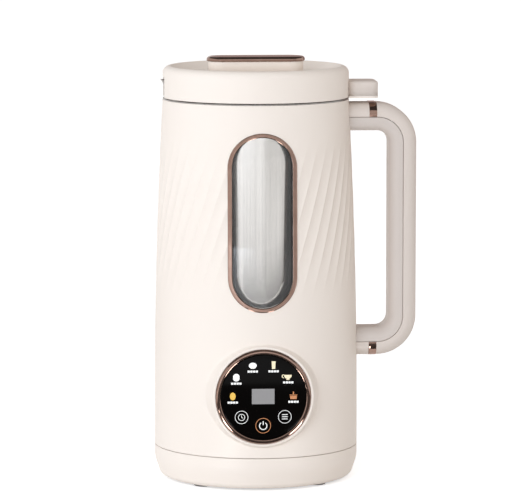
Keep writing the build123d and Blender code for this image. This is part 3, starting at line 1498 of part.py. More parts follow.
# Base cover: dished underside, air inlet inside a duct ring, exhaust slots outside it, bosses over the feet
base_inner = body_radius - base_wall
base_floor_z = base_bottom_z + base_wall
knee_z = base_bottom_z + base_knee_rise
shell_inner = body_radius - wall
with BuildPart() as base_cover:
    with BuildSketch(Plane.XZ):
        with BuildLine():
            FilletPolyline(
                (body_radius, base_top_z),
                (body_radius, knee_z),
                (body_radius - base_lean, base_bottom_z),
                (0, base_bottom_z),
                radius=[base_knee_round, base_foot_round],
            )
            Polyline((0, base_bottom_z), (0, base_floor_z))
            FilletPolyline(
                (0, base_floor_z),
                (base_inner - base_lean, base_floor_z),
                (base_inner, knee_z),
                (base_inner, base_top_z),
                radius=[base_foot_round - base_wall, base_knee_round],
            )
            Line((base_inner, base_top_z), (body_radius, base_top_z))
        make_face()
    revolve(axis=Axis.Z)
    with BuildSketch(Plane.XY.offset(base_top_z - lip_shelf)):
        Circle(base_inner + base_wall / 2)
        Circle(shell_inner - face_gap - lip_wall, mode=Mode.SUBTRACT)
    extrude(amount=lip_shelf)
    with BuildSketch(Plane.XY.offset(base_top_z)):
        Circle(shell_inner - face_gap)
        Circle(shell_inner - face_gap - lip_wall, mode=Mode.SUBTRACT)
    extrude(amount=lip_height)
    with BuildSketch(Plane.XY.offset(base_floor_z)):
        Circle(duct_radius + duct_wall)
        Circle(duct_radius, mode=Mode.SUBTRACT)
    extrude(amount=duct_height)
    with BuildSketch(Plane.XY.offset(base_bottom_z + foot_pocket)):
        with PolarLocations(post_circle, 4, start_angle=45):
            Circle(base_boss_radius)
    extrude(amount=boss_top_z - base_bottom_z - foot_pocket)
    with BuildSketch(Plane.XY.offset(base_bottom_z)):
        with PolarLocations((vent_inner + vent_outer) / 2, vent_count):
            SlotOverall(vent_outer - vent_inner, vent_width)
        with PolarLocations(exhaust_circle, exhaust_count):
            Rectangle(exhaust_length, vent_width)
    extrude(amount=base_wall, mode=Mode.SUBTRACT)
    with BuildSketch(Plane.XY.offset(base_bottom_z)):
        with PolarLocations(post_circle, 4, start_angle=45):
            Circle(foot_radius + press_gap)
    extrude(amount=foot_pocket, mode=Mode.SUBTRACT)
    with BuildSketch(Plane.XY.offset(base_bottom_z)):
        with PolarLocations(post_circle, 4, start_angle=45):
            Circle(base_screw_head + press_gap)
    extrude(amount=base_boss_recess + base_screw_head_height, mode=Mode.SUBTRACT)
    with BuildSketch(Plane.XY.offset(base_bottom_z)):
        with PolarLocations(post_circle, 4, start_angle=45):
            Circle(base_screw_shank + press_gap)
    extrude(amount=base_height, mode=Mode.SUBTRACT)
base_cover.part.label = "base_cover"
export_step(base_cover.part, "parts/base_cover.step")

with BuildPart() as base_screws:
    with BuildSketch(Plane.XY.offset(base_bottom_z + base_boss_recess)):
        with PolarLocations(post_circle, 4, start_angle=45):
            Circle(base_screw_head)
    extrude(amount=base_screw_head_height)
    with BuildSketch(Plane.XY.offset(base_bottom_z + base_boss_recess)):
        with PolarLocations(post_circle, 4, start_angle=45):
            Circle(base_screw_shank)
    extrude(amount=base_screw_length)
base_screws.part.label = "base_screws"
export_step(base_screws.part, "parts/base_screws.step")

with BuildPart() as rubber_feet:
    with BuildSketch():
        with PolarLocations(post_circle, 4, start_angle=45):
            Circle(foot_radius)
    extrude(amount=base_bottom_z + foot_pocket - press_gap)
    fillet(edges().group_by(Axis.Z)[0], radius=foot_round)
rubber_feet.part.label = "rubber_feet"
export_step(rubber_feet.part, "parts/rubber_feet.step")

# Power inlet at the back: flanged socket body with a deep shroud and three blades
inlet_front = inlet_seat + inlet_flange_thickness
cavity_floor = inlet_front - inlet_cavity_depth
pin_places = ((-pin_pitch / 2, inlet_z - pin_drop), (pin_pitch / 2, inlet_z - pin_drop), (0, inlet_z + pin_drop))
with BuildPart() as power_inlet:
    with BuildSketch(Plane.XZ.offset(-inlet_front)):
        with Locations((0, inlet_z)):
            RectangleRounded(inlet_flange_width, inlet_flange_height, inlet_corner)
    extrude(amount=inlet_flange_thickness)
    with BuildSketch(Plane.XZ.offset(-inlet_front)):
        with Locations((0, inlet_z)):
            RectangleRounded(inlet_body_width, inlet_body_height, inlet_corner)
    extrude(amount=inlet_depth)
    with BuildSketch(Plane.XZ.offset(-inlet_front)):
        with Locations((0, inlet_z)):
            RectangleRounded(inlet_cavity_width, inlet_cavity_height, inlet_corner)
    extrude(amount=inlet_cavity_depth, mode=Mode.SUBTRACT)
    with BuildSketch(Plane.XZ.offset(-cavity_floor)):
        with Locations(*pin_places):
            Rectangle(pin_width + 2 * screw_fit, pin_height + 2 * screw_fit)
    extrude(amount=inlet_depth, mode=Mode.SUBTRACT)
power_inlet.part.label = "power_inlet"
export_step(power_inlet.part, "parts/power_inlet.step")

with BuildPart() as inlet_pins:
    with BuildSketch(Plane.XZ.offset(-cavity_floor - pin_length)):
        with Locations(*pin_places):
            Rectangle(pin_width, pin_height)
    extrude(amount=pin_length + inlet_depth - inlet_cavity_depth + pin_tail)
inlet_pins.part.label = "inlet_pins"
export_step(inlet_pins.part, "parts/inlet_pins.step")

# Main board on four pegged bosses of the shell, and the reed switch that senses the lid's magnet
with BuildPart() as main_board:
    with BuildSketch(Plane.YZ.offset(board_x)):
        with Locations((0, board_middle_z)):
            Rectangle(board_width, board_height)
            with GridLocations(board_boss_pitch_y, board_boss_pitch_z, 2, 2):
                Circle(board_peg_radius + press_gap, mode=Mode.SUBTRACT)
    extrude(amount=board_thickness)
    with BuildSketch(Plane.YZ.offset(board_x - transformer_depth)):
        with Locations((0, board_middle_z)):
            Rectangle(transformer_width, transformer_height)
    extrude(amount=transformer_depth)
    with BuildSketch(Plane.YZ.offset(board_x - relay_depth)):
        with Locations((0, board_low_z + relay_size / 2)):
            Rectangle(relay_size, relay_size)
        with Locations((0, board_low_z + board_height - terminal_height)):
            Rectangle(terminal_width, terminal_height)
    extrude(amount=relay_depth)
main_board.part.label = "main_board"
export_step(main_board.part, "parts/main_board.step")

with BuildPart() as reed_switch:
    with BuildSketch(Plane.XY.offset(reed_z)):
        with Locations((reed_x, 0)):
            Rectangle(reed_length, reed_width)
    extrude(amount=reed_height)
reed_switch.part.label = "reed_switch"
export_step(reed_switch.part, "parts/reed_switch.step")
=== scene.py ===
# %% [markdown]
# # A nut milk maker, dressed for its picture
#
# The solids of this countertop pot already exist. This lesson dresses them: fine skins over the outer
# pieces, finishes with grain and brushing, printed keys, and a small photo studio. The frame is loaded
# first, because each new piece rides on one of its bodies and stands in for one of its solids.

# %% Load the solids
import json
import math
import bmesh
import bpy
import numpy as np
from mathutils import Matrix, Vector


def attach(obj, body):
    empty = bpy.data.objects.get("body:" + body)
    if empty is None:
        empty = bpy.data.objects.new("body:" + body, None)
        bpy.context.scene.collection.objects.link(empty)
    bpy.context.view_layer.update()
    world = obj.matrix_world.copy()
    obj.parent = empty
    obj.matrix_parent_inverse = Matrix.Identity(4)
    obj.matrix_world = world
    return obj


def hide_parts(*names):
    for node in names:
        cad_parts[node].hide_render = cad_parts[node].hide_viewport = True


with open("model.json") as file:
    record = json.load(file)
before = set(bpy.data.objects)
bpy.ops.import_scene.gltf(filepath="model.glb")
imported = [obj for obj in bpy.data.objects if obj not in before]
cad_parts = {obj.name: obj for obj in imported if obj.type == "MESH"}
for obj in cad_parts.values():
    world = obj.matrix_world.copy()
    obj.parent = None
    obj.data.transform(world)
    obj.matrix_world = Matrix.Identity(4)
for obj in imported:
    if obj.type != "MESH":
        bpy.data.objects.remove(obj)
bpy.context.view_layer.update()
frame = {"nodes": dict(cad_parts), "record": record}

# %% [markdown]
# The pot's plan is a circle that runs straight up from the base and then leans in along one long arc.
# The wall could be drawn once for each piece, but one function that gives its radius at any height lets
# the skin, window trim, lens and touch panel all follow the same curve. Sizes are in millimetres here
# and become metres when a mesh is made.

# %% Sizes of the body
BODY_R, TOP_R = 61.3, 56.0
SHELL_LOW, SHELL_TOP = 20.5, 229.3
LEAN_RISE = 190.0
LEAN_START = SHELL_TOP - LEAN_RISE
LEAN = BODY_R - TOP_R
LEAN_ARC = (LEAN_RISE ** 2 + LEAN ** 2) / (2 * LEAN)
WALL = 2.5
PANEL_Z, PANEL_FACE = 57.7, 63.7
WINDOW_Z, WINDOW_WIDE, WINDOW_TALL = 160.25, 36.0, 100.7
METRES = 0.001


def wall_radius(z):
    """Outer radius of the body at height z, for one height or an array of them."""
    rise = np.maximum(0.0, np.asarray(z, float) - LEAN_START)
    return BODY_R - LEAN_ARC + np.sqrt(LEAN_ARC ** 2 - rise ** 2)


print("radius at the foot, middle and rim:", [round(float(wall_radius(z)), 2) for z in (21, 125, 229)])

# %% [markdown]
# Every new piece starts as arrays of points and faces. That is more exact than scaling primitives, and
# it is quick. One helper turns the arrays into an object and marks its crisp edges by angle. The next
# joins rows of points into quads, and two more close such a skin: as a loop of rings, or with both ends
# filled.

# %% Points and faces
def make_piece(name, points, faces, crisp=30.0):
    """Object from points in millimetres and faces, smooth except over edges sharper than crisp degrees."""
    mesh = bpy.data.meshes.new(name)
    mesh.from_pydata((np.asarray(points, float) * METRES).tolist(), [], faces)
    mesh.validate()
    mesh.polygons.foreach_set("use_smooth", [True] * len(mesh.polygons))
    mesh.set_sharp_from_angle(angle=math.radians(crisp))
    piece = bpy.data.objects.new(name, mesh)
    bpy.context.scene.collection.objects.link(piece)
    return piece


def weld(piece):
    """Joins points that lie on one another, such as those of a spun profile on its axis."""
    mesh = bmesh.new()
    mesh.from_mesh(piece.data)
    bmesh.ops.remove_doubles(mesh, verts=mesh.verts, dist=1e-7)
    bmesh.ops.recalc_face_normals(mesh, faces=mesh.faces)
    mesh.to_mesh(piece.data)
    mesh.free()


def grid_faces(rows, columns, wrap_rows=False, wrap_columns=True):
    """Quads that join rows of points into one skin."""
    faces = []
    for r in range(rows if wrap_rows else rows - 1):
        upper = (r + 1) % rows
        for c in range(columns if wrap_columns else columns - 1):
            ahead = (c + 1) % columns
            faces.append((r * columns + c, r * columns + ahead, upper * columns + ahead, upper * columns + c))
    return faces


def looped(name, rings, wrap_columns=True):
    """Piece whose rings of points join one another, the last ring to the first."""
    rings = np.asarray(rings, float)
    faces = grid_faces(len(rings), rings.shape[1], True, wrap_columns)
    piece = make_piece(name, rings.reshape(-1, 3), faces, 40.0)
    weld(piece)
    return piece


def capped(name, points, count, crisp=35.0):
    """Piece from rows of count points each, with its first and last row filled."""
    faces = grid_faces(len(points) // count, count)
    faces += [tuple(reversed(range(count))), tuple(range(len(points) - count, len(points)))]
    piece = make_piece(name, points, faces, crisp)
    weld(piece)
    return piece


print("quads in a closed band of 2 rows by 8 points:", len(grid_faces(2, 8)))

# %% [markdown]
# Most outer pieces of the pot are round, and none has a knife edge. So the profile of such a piece is
# drawn as a few corners, each is rounded by its own radius, and the result is spun about the upright
# axis. A bevel modifier would do it too, but it would round all corners alike.

# %% Profiles
def rounded(corners, radii, steps=5, closed=False):
    """Points along a line of corners, with each corner rounded by its radius."""
    corners = [np.asarray(c, float) for c in corners]
    points = []
    last = len(corners) - 1
    for i, corner in enumerate(corners):
        radius = radii[i] if i < len(radii) else 0
        if not closed and i in (0, last) or radius <= 0:
            points.append(corner)
            continue
        back = corners[i - 1] - corner
        ahead = corners[(i + 1) % len(corners)] - corner
        back, ahead = back / np.linalg.norm(back), ahead / np.linalg.norm(ahead)
        half = math.acos(max(-1.0, min(1.0, float(back @ ahead)))) / 2
        reach = radius / math.tan(half)
        middle = (back + ahead) / np.linalg.norm(back + ahead)
        centre = corner + middle * radius / math.sin(half)
        start, end = corner + back * reach - centre, corner + ahead * reach - centre
        for step in range(steps + 1):
            share = step / steps
            ray = start * (1 - share) + end * share
            points.append(centre + ray / np.linalg.norm(ray) * radius)
    return points


def spun(name, profile, steps=192, closed=False, crisp=30.0):
    """Piece made by turning a profile of (radius, height) points about the upright axis."""
    turns = np.linspace(0, 2 * math.pi, steps, endpoint=False)
    points = [(r * math.cos(t), r * math.sin(t), z) for r, z in profile for t in turns]
    faces = grid_faces(len(profile), steps, wrap_rows=closed)
    piece = make_piece(name, points, faces, crisp)
    weld(piece)
    return piece


print("points on a square with one rounded corner:",
      len(rounded([(0, 0), (9, 0), (9, 9), (0, 9)], [0, 2], 5, True)))

# %% [markdown]
# Materials are built as node trees in code. A few helpers keep the recipes short: one adds a node with
# its values, one makes a shader group with named sockets, and three stand for the steps that all
# finishes share, which are a soft noise, a stretch between two values and a mix of two colours.

# %% Node helpers
def add_node(tree, kind, place=(0, 0), **values):
    """Shader node of a kind, with inputs and settings given by name."""
    node = tree.nodes.new(kind)
    node.location = place
    for key, value in values.items():
        if hasattr(node, key):
            setattr(node, key, value)
        else:
            node.inputs[key.replace("_", " ")].default_value = value
    return node


def new_group(name, inputs, outputs):
    """Empty shader group with named inputs and outputs, each a pair of name and socket type."""
    tree = bpy.data.node_groups.new(name, "ShaderNodeTree")
    for label, kind in inputs:
        tree.interface.new_socket(label, in_out="INPUT", socket_type="NodeSocket" + kind)
    for label, kind in outputs:
        tree.interface.new_socket(label, in_out="OUTPUT", socket_type="NodeSocket" + kind)
    return tree, add_node(tree, "NodeGroupInput", (-900, 0)), add_node(tree, "NodeGroupOutput", (900, 0))


def drift(tree, vector, scale, detail, place):
    """Soft noise over the object, at a scale given by a socket or a number."""
    noise = add_node(tree, "ShaderNodeTexNoise", place, Detail=detail)
    tree.links.new(vector, noise.inputs["Vector"])
    if isinstance(scale, (int, float)):
        noise.inputs["Scale"].default_value = scale
    else:
        tree.links.new(scale, noise.inputs["Scale"])
    return noise.outputs["Fac"]


def spread(tree, value, low, high, place):
    """Stretches the middle of a noise between two sockets or numbers."""
    ranged = add_node(tree, "ShaderNodeMapRange", place)
    ranged.inputs["From Min"].default_value = 0.3
    ranged.inputs["From Max"].default_value = 0.7
    tree.links.new(value, ranged.inputs["Value"])
    for name, end in (("To Min", low), ("To Max", high)):
        if isinstance(end, (int, float)):
            ranged.inputs[name].default_value = end
        else:
            tree.links.new(end, ranged.inputs[name])
    return ranged.outputs["Result"]


def mixed(tree, share, first, second, place):
    """Colour between two sockets by a share."""
    mix = add_node(tree, "ShaderNodeMix", place, data_type="RGBA")
    tree.links.new(share, mix.inputs["Factor"])
    tree.links.new(first, mix.inputs["A"])
    tree.links.new(second, mix.inputs["B"])
    return mix.outputs["Result"]


print("node helpers ready")

# %% [markdown]
# Moulded plastic is never one flat colour: the skin of the tool leaves a fine grain, and the colour and
# gloss drift a little over a hand's width. This could be painted, but a shader group serves every
# plastic piece with its own values. It gives out a colour, a roughness and a height for the bump.

# %% Shader group: moulded grain
grain_tree, into, out = new_group(
    "Moulded grain",
    [("Vector", "Vector"), ("Colour", "Color"), ("Shade", "Color"),
     ("Smoothest", "Float"), ("Roughest", "Float"), ("Grain", "Float")],
    [("Colour", "Color"), ("Roughness", "Float"), ("Height", "Float")],
)
slow = drift(grain_tree, into.outputs["Vector"], scale=14.0, detail=2.0, place=(-600, 200))
fine = drift(grain_tree, into.outputs["Vector"], scale=into.outputs["Grain"], detail=1.0, place=(-600, -200))
tone = mixed(grain_tree, slow, into.outputs["Colour"], into.outputs["Shade"], (0, 300))
gloss = spread(grain_tree, slow, into.outputs["Smoothest"], into.outputs["Roughest"], (0, 0))
grain_tree.links.new(tone, out.inputs["Colour"])
grain_tree.links.new(gloss, out.inputs["Roughness"])
grain_tree.links.new(fine, out.inputs["Height"])
print("group", grain_tree.name, "ready")

# %% [markdown]
# Brushed and drawn steel shows long parallel lines. Noise that is squeezed hard along one direction and
# stretched along the other reads as brushing. The group takes the squeezed place from the material, so
# that the cup can run its lines up its wall while a blade runs them along its length.

# %% Shader group: brushed lines
HAIR_SHARE = 0.6
brush_tree, into, out = new_group(
    "Brushed lines",
    [("Vector", "Vector"), ("Colour", "Color"), ("Shade", "Color"),
     ("Smoothest", "Float"), ("Roughest", "Float")],
    [("Colour", "Color"), ("Roughness", "Float"), ("Height", "Float")],
)
hair = drift(brush_tree, into.outputs["Vector"], scale=9.0, detail=4.0, place=(-600, 200))
broad = drift(brush_tree, into.outputs["Vector"], scale=1.6, detail=2.0, place=(-600, -200))
both = add_node(brush_tree, "ShaderNodeMath", (-300, 0), operation="MULTIPLY_ADD")
brush_tree.links.new(hair, both.inputs[0])
both.inputs[1].default_value = HAIR_SHARE
brush_tree.links.new(broad, both.inputs[2])
less = add_node(brush_tree, "ShaderNodeMath", (-120, 0), operation="SUBTRACT")
brush_tree.links.new(both.outputs[0], less.inputs[0])
less.inputs[1].default_value = HAIR_SHARE / 2
streaks = spread(brush_tree, less.outputs[0], 0.0, 1.0, (0, 500))
tone = mixed(brush_tree, streaks, into.outputs["Colour"], into.outputs["Shade"], (200, 300))
gloss = spread(brush_tree, less.outputs[0], into.outputs["Smoothest"], into.outputs["Roughest"], (200, 0))
brush_tree.links.new(tone, out.inputs["Colour"])
brush_tree.links.new(gloss, out.inputs["Roughness"])
brush_tree.links.new(less.outputs[0], out.inputs["Height"])
print("group", brush_tree.name, "ready")

# %% [markdown]
# Each finish is then a short recipe: one of the two groups feeds colour, roughness and bump into a
# Principled shader, and what is the same all over stays on the shader's own sockets. Colours are
# written as they look on a screen and converted once.

# %% Finish recipes
GRAIN_HEIGHT, BRUSH_HEIGHT = 0.0002, 0.00005


def screen(red, green, blue):
    """Screen colour from 0 to 255, as the linear colour that a shader takes."""
    parts = [c / 255 for c in (red, green, blue)]
    return tuple(c / 12.92 if c <= 0.04045 else ((c + 0.055) / 1.055) ** 2.4 for c in parts) + (1.0,)


def finish_from(name, group, colour, shade, smooth, rough, bump, bump_depth, **constants):
    """Material whose colour, roughness and bump come from a group, with plain values on the shader."""
    material = bpy.data.materials.new(name)
    material.use_nodes = True
    tree = material.node_tree
    shader = tree.nodes["Principled BSDF"]
    effect = add_node(tree, "ShaderNodeGroup", (-500, 200))
    effect.node_tree = group
    effect.inputs["Colour"].default_value = colour
    effect.inputs["Shade"].default_value = shade
    effect.inputs["Smoothest"].default_value = smooth
    effect.inputs["Roughest"].default_value = rough
    place = add_node(tree, "ShaderNodeTexCoord", (-1100, 0))
    tree.links.new(place.outputs["Object"], effect.inputs["Vector"])
    tree.links.new(effect.outputs["Colour"], shader.inputs["Base Color"])
    tree.links.new(effect.outputs["Roughness"], shader.inputs["Roughness"])
    relief = add_node(tree, "ShaderNodeBump", (-250, -200))
    relief.inputs["Strength"].default_value = bump
    relief.inputs["Distance"].default_value = bump_depth
    tree.links.new(effect.outputs["Height"], relief.inputs["Height"])
    tree.links.new(relief.outputs["Normal"], shader.inputs["Normal"])
    for socket, value in constants.items():
        shader.inputs[socket.replace("_", " ")].default_value = value
    return material, tree, effect, place


def moulded(name, colour, shade, smooth, rough, grain=900.0, bump=0.06, **constants):
    """Plastic or rubber with a fine moulded grain."""
    material, _, effect, _ = finish_from(
        name, grain_tree, colour, shade, smooth, rough, bump, GRAIN_HEIGHT, **constants
    )
    effect.inputs["Grain"].default_value = grain
    return material


def metal(name, colour, shade, smooth, rough, squeeze, bump, around):
    """Metal with lines: squeeze stretches the place along x, y and z, or by angle and height if around."""
    material, tree, effect, place = finish_from(
        name, brush_tree, colour, shade, smooth, rough, bump, BRUSH_HEIGHT, Metallic=1.0
    )
    source = place.outputs["Object"]
    if around:
        # The angle is counted from the front, so that its jump falls at the back, away from the window.
        parts = add_node(tree, "ShaderNodeSeparateXYZ", (-1050, 0))
        front = add_node(tree, "ShaderNodeMath", (-900, -100), operation="MULTIPLY")
        angle = add_node(tree, "ShaderNodeMath", (-750, 100), operation="ARCTAN2")
        unrolled = add_node(tree, "ShaderNodeCombineXYZ", (-650, 0))
        front.inputs[1].default_value = -1.0
        tree.links.new(source, parts.inputs[0])
        tree.links.new(parts.outputs["Y"], front.inputs[0])
        tree.links.new(parts.outputs["X"], angle.inputs[0])
        tree.links.new(front.outputs[0], angle.inputs[1])
        tree.links.new(angle.outputs[0], unrolled.inputs["X"])
        tree.links.new(parts.outputs["Z"], unrolled.inputs["Z"])
        source = unrolled.outputs[0]
    scale = add_node(tree, "ShaderNodeVectorMath", (-600, -200), operation="MULTIPLY")
    tree.links.new(source, scale.inputs[0])
    scale.inputs[1].default_value = squeeze
    tree.links.new(scale.outputs[0], effect.inputs["Vector"])
    return material


print("a mid screen grey of 128 is", round(screen(128, 128, 128)[0], 3), "to a shader")

# %% [markdown]
# The finishes of the whole pot follow. The body is a warm cream plastic with a satin skin, and the lid
# is the same plastic with a little more gloss. The accents are rose-gold plating, and the cup, rim,
# blades and hidden hardware are steels of different brushing. Two tables keep them easy to compare. Their
# names are the record's own slots, but for the last of each table: the handle's inner half is greyer
# than the outer, partly by its own tint and partly as painted shade, and the rim and the beak are darker
# steel than the cup, as painted shade of the gap under the lid. The handle's cream, darker than the
# body's, holds painted shade as well.

# %% Finishes
# Each plastic or rubber: name, colour, shade, smoothest, roughest, grain, bump, specular level
PLASTICS = [
    ("cream_shell", (244, 234, 224), (241, 230, 219), 0.46, 0.54, 900.0, 0.06, 0.3),
    ("cream_lid", (244, 234, 224), (241, 230, 219), 0.42, 0.5, 900.0, 0.06, 0.3),
    # cream_handle is darker than the body's cream as painted shade: the body's shade on the handle and the
    # lid's on the tab
    ("cream_handle", (222, 211, 202), (218, 206, 196), 0.38, 0.46, 900.0, 0.06, 0.4),
    ("cream_base", (244, 234, 224), (241, 230, 219), 0.46, 0.54, 900.0, 0.06, 0.3),
    ("dark_gasket", (9, 7, 6), (16, 13, 11), 0.6, 0.8, 900.0, 0.06, 0.5),
    ("seal_rubber", (214, 211, 205), (200, 197, 190), 0.5, 0.65, 500.0, 0.06, 0.5),
    ("damper_rubber", (30, 30, 30), (44, 43, 42), 0.6, 0.8, 500.0, 0.06, 0.5),
    ("foot_rubber", (104, 99, 95), (116, 111, 106), 0.6, 0.8, 500.0, 0.06, 0.5),
    ("carbon", (38, 38, 40), (54, 54, 56), 0.4, 0.6, 1600.0, 0.2, 0.5),
    ("panel_plastic", (36, 35, 35), (46, 45, 44), 0.4, 0.55, 900.0, 0.06, 0.5),
    ("display_face", (126, 124, 124), (138, 136, 136), 0.3, 0.4, 900.0, 0.06, 0.5),
    ("board_green", (34, 104, 62), (24, 84, 50), 0.3, 0.45, 400.0, 0.15, 0.5),
    ("bracket_plastic", (226, 222, 212), (214, 210, 198), 0.4, 0.55, 900.0, 0.06, 0.5),
    ("fan_plastic", (44, 44, 45), (56, 56, 57), 0.4, 0.55, 900.0, 0.06, 0.5),
    ("inlet_plastic", (32, 31, 31), (44, 42, 42), 0.42, 0.58, 900.0, 0.06, 0.5),
    ("liner_plastic", (238, 234, 226), (230, 226, 216), 0.34, 0.46, 900.0, 0.06, 0.5),
    # The inner half's greyer colour is partly its own tint and partly painted shade.
    ("handle_inside_tint_and_shade", (213, 203, 195), (208, 197, 189), 0.42, 0.5, 900.0, 0.06, 0.5),
]
# Each metal: name, colour, shade, smoothest, roughest, squeeze, bump, and if its place is taken round
METALS = [
    ("rose_gold", (158, 131, 119), (147, 120, 108), 0.05, 0.1, (90, 90, 90), 0.01, False),
    ("cup_steel", (227, 223, 218), (217, 213, 208), 0.14, 0.2, (22, 1, 1), 0.015, True),
    ("blade_steel", (214, 214, 216), (190, 190, 193), 0.16, 0.26, (60, 900, 60), 0.08, False),
    ("screw_steel", (190, 190, 188), (168, 166, 160), 0.28, 0.42, (400, 400, 400), 0.08, False),
    ("shaft_steel", (200, 200, 202), (182, 182, 184), 0.2, 0.3, (60, 60, 900), 0.08, False),
    ("bearing_steel", (196, 197, 200), (180, 181, 184), 0.16, 0.26, (60, 60, 900), 0.08, False),
    ("probe_steel", (206, 206, 205), (186, 186, 184), 0.2, 0.32, (200, 200, 60), 0.08, False),
    ("lamination_steel", (120, 121, 124), (84, 84, 88), 0.38, 0.55, (20, 20, 2400), 0.3, False),
    ("copper_wire", (196, 120, 74), (140, 76, 44), 0.25, 0.4, (300, 300, 1500), 0.5, False),
    ("copper_bars", (206, 136, 98), (176, 108, 74), 0.25, 0.38, (40, 40, 900), 0.08, False),
    ("bronze_bush", (186, 150, 98), (160, 126, 80), 0.4, 0.55, (500, 500, 500), 0.2, False),
    ("cast_aluminium", (196, 197, 198), (172, 173, 175), 0.42, 0.6, (260, 260, 260), 0.35, False),
    ("pin_metal", (212, 208, 196), (196, 190, 176), 0.14, 0.24, (60, 60, 60), 0.08, False),
    ("magnet_metal", (200, 200, 202), (184, 184, 188), 0.16, 0.28, (60, 60, 60), 0.08, False),
    ("touch_spring", (210, 184, 130), (184, 156, 100), 0.3, 0.42, (60, 400, 60), 0.08, False),
    # The rim's steel is darker than the cup's: painted shade of the thin gap under the lid.
    ("rim_steel_painted_shade", (166, 161, 157), (142, 138, 134), 0.2, 0.3, (22, 1, 1), 0.02, True),
]
finishes = {}
for name, colour, shade, smooth, rough, grain, bump, specular in PLASTICS:
    finishes[name] = moulded(
        name, screen(*colour), screen(*shade), smooth, rough, grain, bump, Specular_IOR_Level=specular
    )
for name, colour, shade, smooth, rough, squeeze, bump, around in METALS:
    finishes[name] = metal(name, screen(*colour), screen(*shade), smooth, rough, squeeze, bump, around)
print(len(finishes), "finishes")

# %% [markdown]
# Two glossy finishes need their own care. The window's lens is clear plastic that must let the steel
# behind show, so it is plain transmission with a faint grain in its roughness. The touch glass is black
# behind a deep gloss, and gets a faint haze of handling so that it isn't a perfect void.

# %% Clear lens and black glass
lens_finish, _, lens_effect, _ = finish_from(
    "clear_lens", grain_tree, screen(250, 250, 250), screen(246, 247, 248),
    smooth=0.0, rough=0.02, bump=0.01, bump_depth=0.0001,
    Transmission_Weight=1.0, IOR=1.46, Specular_IOR_Level=0.12
)
lens_effect.inputs["Grain"].default_value = 60.0
glass_finish, _, glass_effect, _ = finish_from(
    "panel_glass", grain_tree, screen(5, 4, 4), screen(9, 7, 6),
    smooth=0.04, rough=0.12, bump=0.01, bump_depth=0.0001,
    IOR=1.5, Specular_IOR_Level=0.08
)
glass_effect.inputs["Grain"].default_value = 40.0
finishes["clear_lens"] = lens_finish
finishes["panel_glass"] = glass_finish
print(len(finishes), "finishes with the lens and the touch glass")

# %% [markdown]
# Every solid takes the finish of its slot in the record, also the ones that no camera sees, because the
# pot can be opened and its pieces shown one by one. A second helper does the same for each new piece:
# it gives it the finish of its slot, ties it to the body that it moves with, and hides the solids that
# it stands for.

# %% Dress the solids
slot_of = {row["node"]: row["material_slot"] for row in frame["record"]["subparts"]}
for node, solid in frame["nodes"].items():
    solid.data.materials.clear()
    solid.data.materials.append(finishes[slot_of[node]])
print("dressed", len(slot_of), "solids")


def dress(piece, slot, body, *stands_for, finish=None):
    """Gives a new piece its finish and its body, and hides the solids that it stands for."""
    piece.data.materials.append(finishes[finish or slot])
    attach(piece, body)
    if stands_for:
        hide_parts(*stands_for)
    return piece


# %% [markdown]
# The outer shell is the piece that people notice: 48 concave flutes climb its upper half on a slant and
# fade away at both ends. A boolean of cutters would leave slivers where they fade, so the skin is one
# sheared grid. Its columns follow the twist, which puts a line of points on each ridge, and the depth
# comes from the place between two ridges.

# %% Form of the flutes
FLUTES, PER_FLUTE = 48, 14
FLUTE_LOW, FLUTE_HIGH, FLUTE_MIDDLE, FLUTE_FADE = 110.0, 212.0, 161.0, 36.0
FLUTE_DEPTH, FLUTE_TWIST, FLUTE_START = 0.6, 0.32, 6.6 - 90.0


def ease(value):
    """Smooth step from 0 to 1."""
    value = np.clip(value, 0.0, 1.0)
    return value * value * (3 - 2 * value)


def flute_share(z):
    """How deep the flutes are at a height, as a share of their full depth."""
    return ease((z - FLUTE_LOW) / FLUTE_FADE) * ease((FLUTE_HIGH - z) / FLUTE_FADE)


def fluted_grid(columns, rows):
    """Points of the fluted wall, row by row from the foot up."""
    index = np.arange(columns)
    between = (index % PER_FLUTE) / PER_FLUTE
    points = []
    for z in rows:
        turn = math.radians(FLUTE_START + FLUTE_TWIST * (min(max(z, FLUTE_LOW), FLUTE_HIGH) - FLUTE_MIDDLE))
        angle = turn + 2 * math.pi * index / columns
        radius = wall_radius(z) - FLUTE_DEPTH * flute_share(z) * 4 * between * (1 - between)
        points.append(np.stack([radius * np.cos(angle), radius * np.sin(angle), np.full(columns, z)], 1))
    return np.stack(points)


print("depth share at 120, 140 and 160 mm:", [round(float(flute_share(z)), 2) for z in (120, 140, 160)])

# %% [markdown]
# The skin has an outer and an inner wall, joined over the rim and under the foot, because the window
# shows how thin it is. It has to be open behind the window, the touch panel and the power inlet. Holes
# could be cut with booleans, but leaving out the quads that lie inside an opening is enough here, as
# a trim or a collar covers each edge.

# %% Skin of the shell
TRIM_COVERS = (39.4, 104.2)
PANEL_COVERS = 35.6
INLET_Z, INLET_COVERS = 38.0, (19.0, 16.6)
EDGE_ROUND, EDGE_BAND = [(0.3, 0.0), (0.09, 0.09), (0.0, 0.3)], 1.2
OUTER_ROWS, INNER_HIGH, INNER_LOW, INNER_STEP = 206, 227.0, 22.0, 2.0


def in_capsule(x, z, width, height):
    """True inside an upright capsule round the window's centre."""
    straight = (height - width) / 2
    drop = np.maximum(0.0, np.abs(z - WINDOW_Z) - straight)
    return np.hypot(x, drop) < width / 2


def open_place(x, y, z):
    """True where the shell is open: behind the window's trim, the panel's collar and the inlet's pad."""
    front, back = y < 0, y > 0
    window = in_capsule(x, z, *TRIM_COVERS) & front
    panel = (np.hypot(x, z - PANEL_Z) < PANEL_COVERS) & front
    inlet = (np.abs(x) < INLET_COVERS[0]) & (np.abs(z - INLET_Z) < INLET_COVERS[1]) & back
    return window | panel | inlet


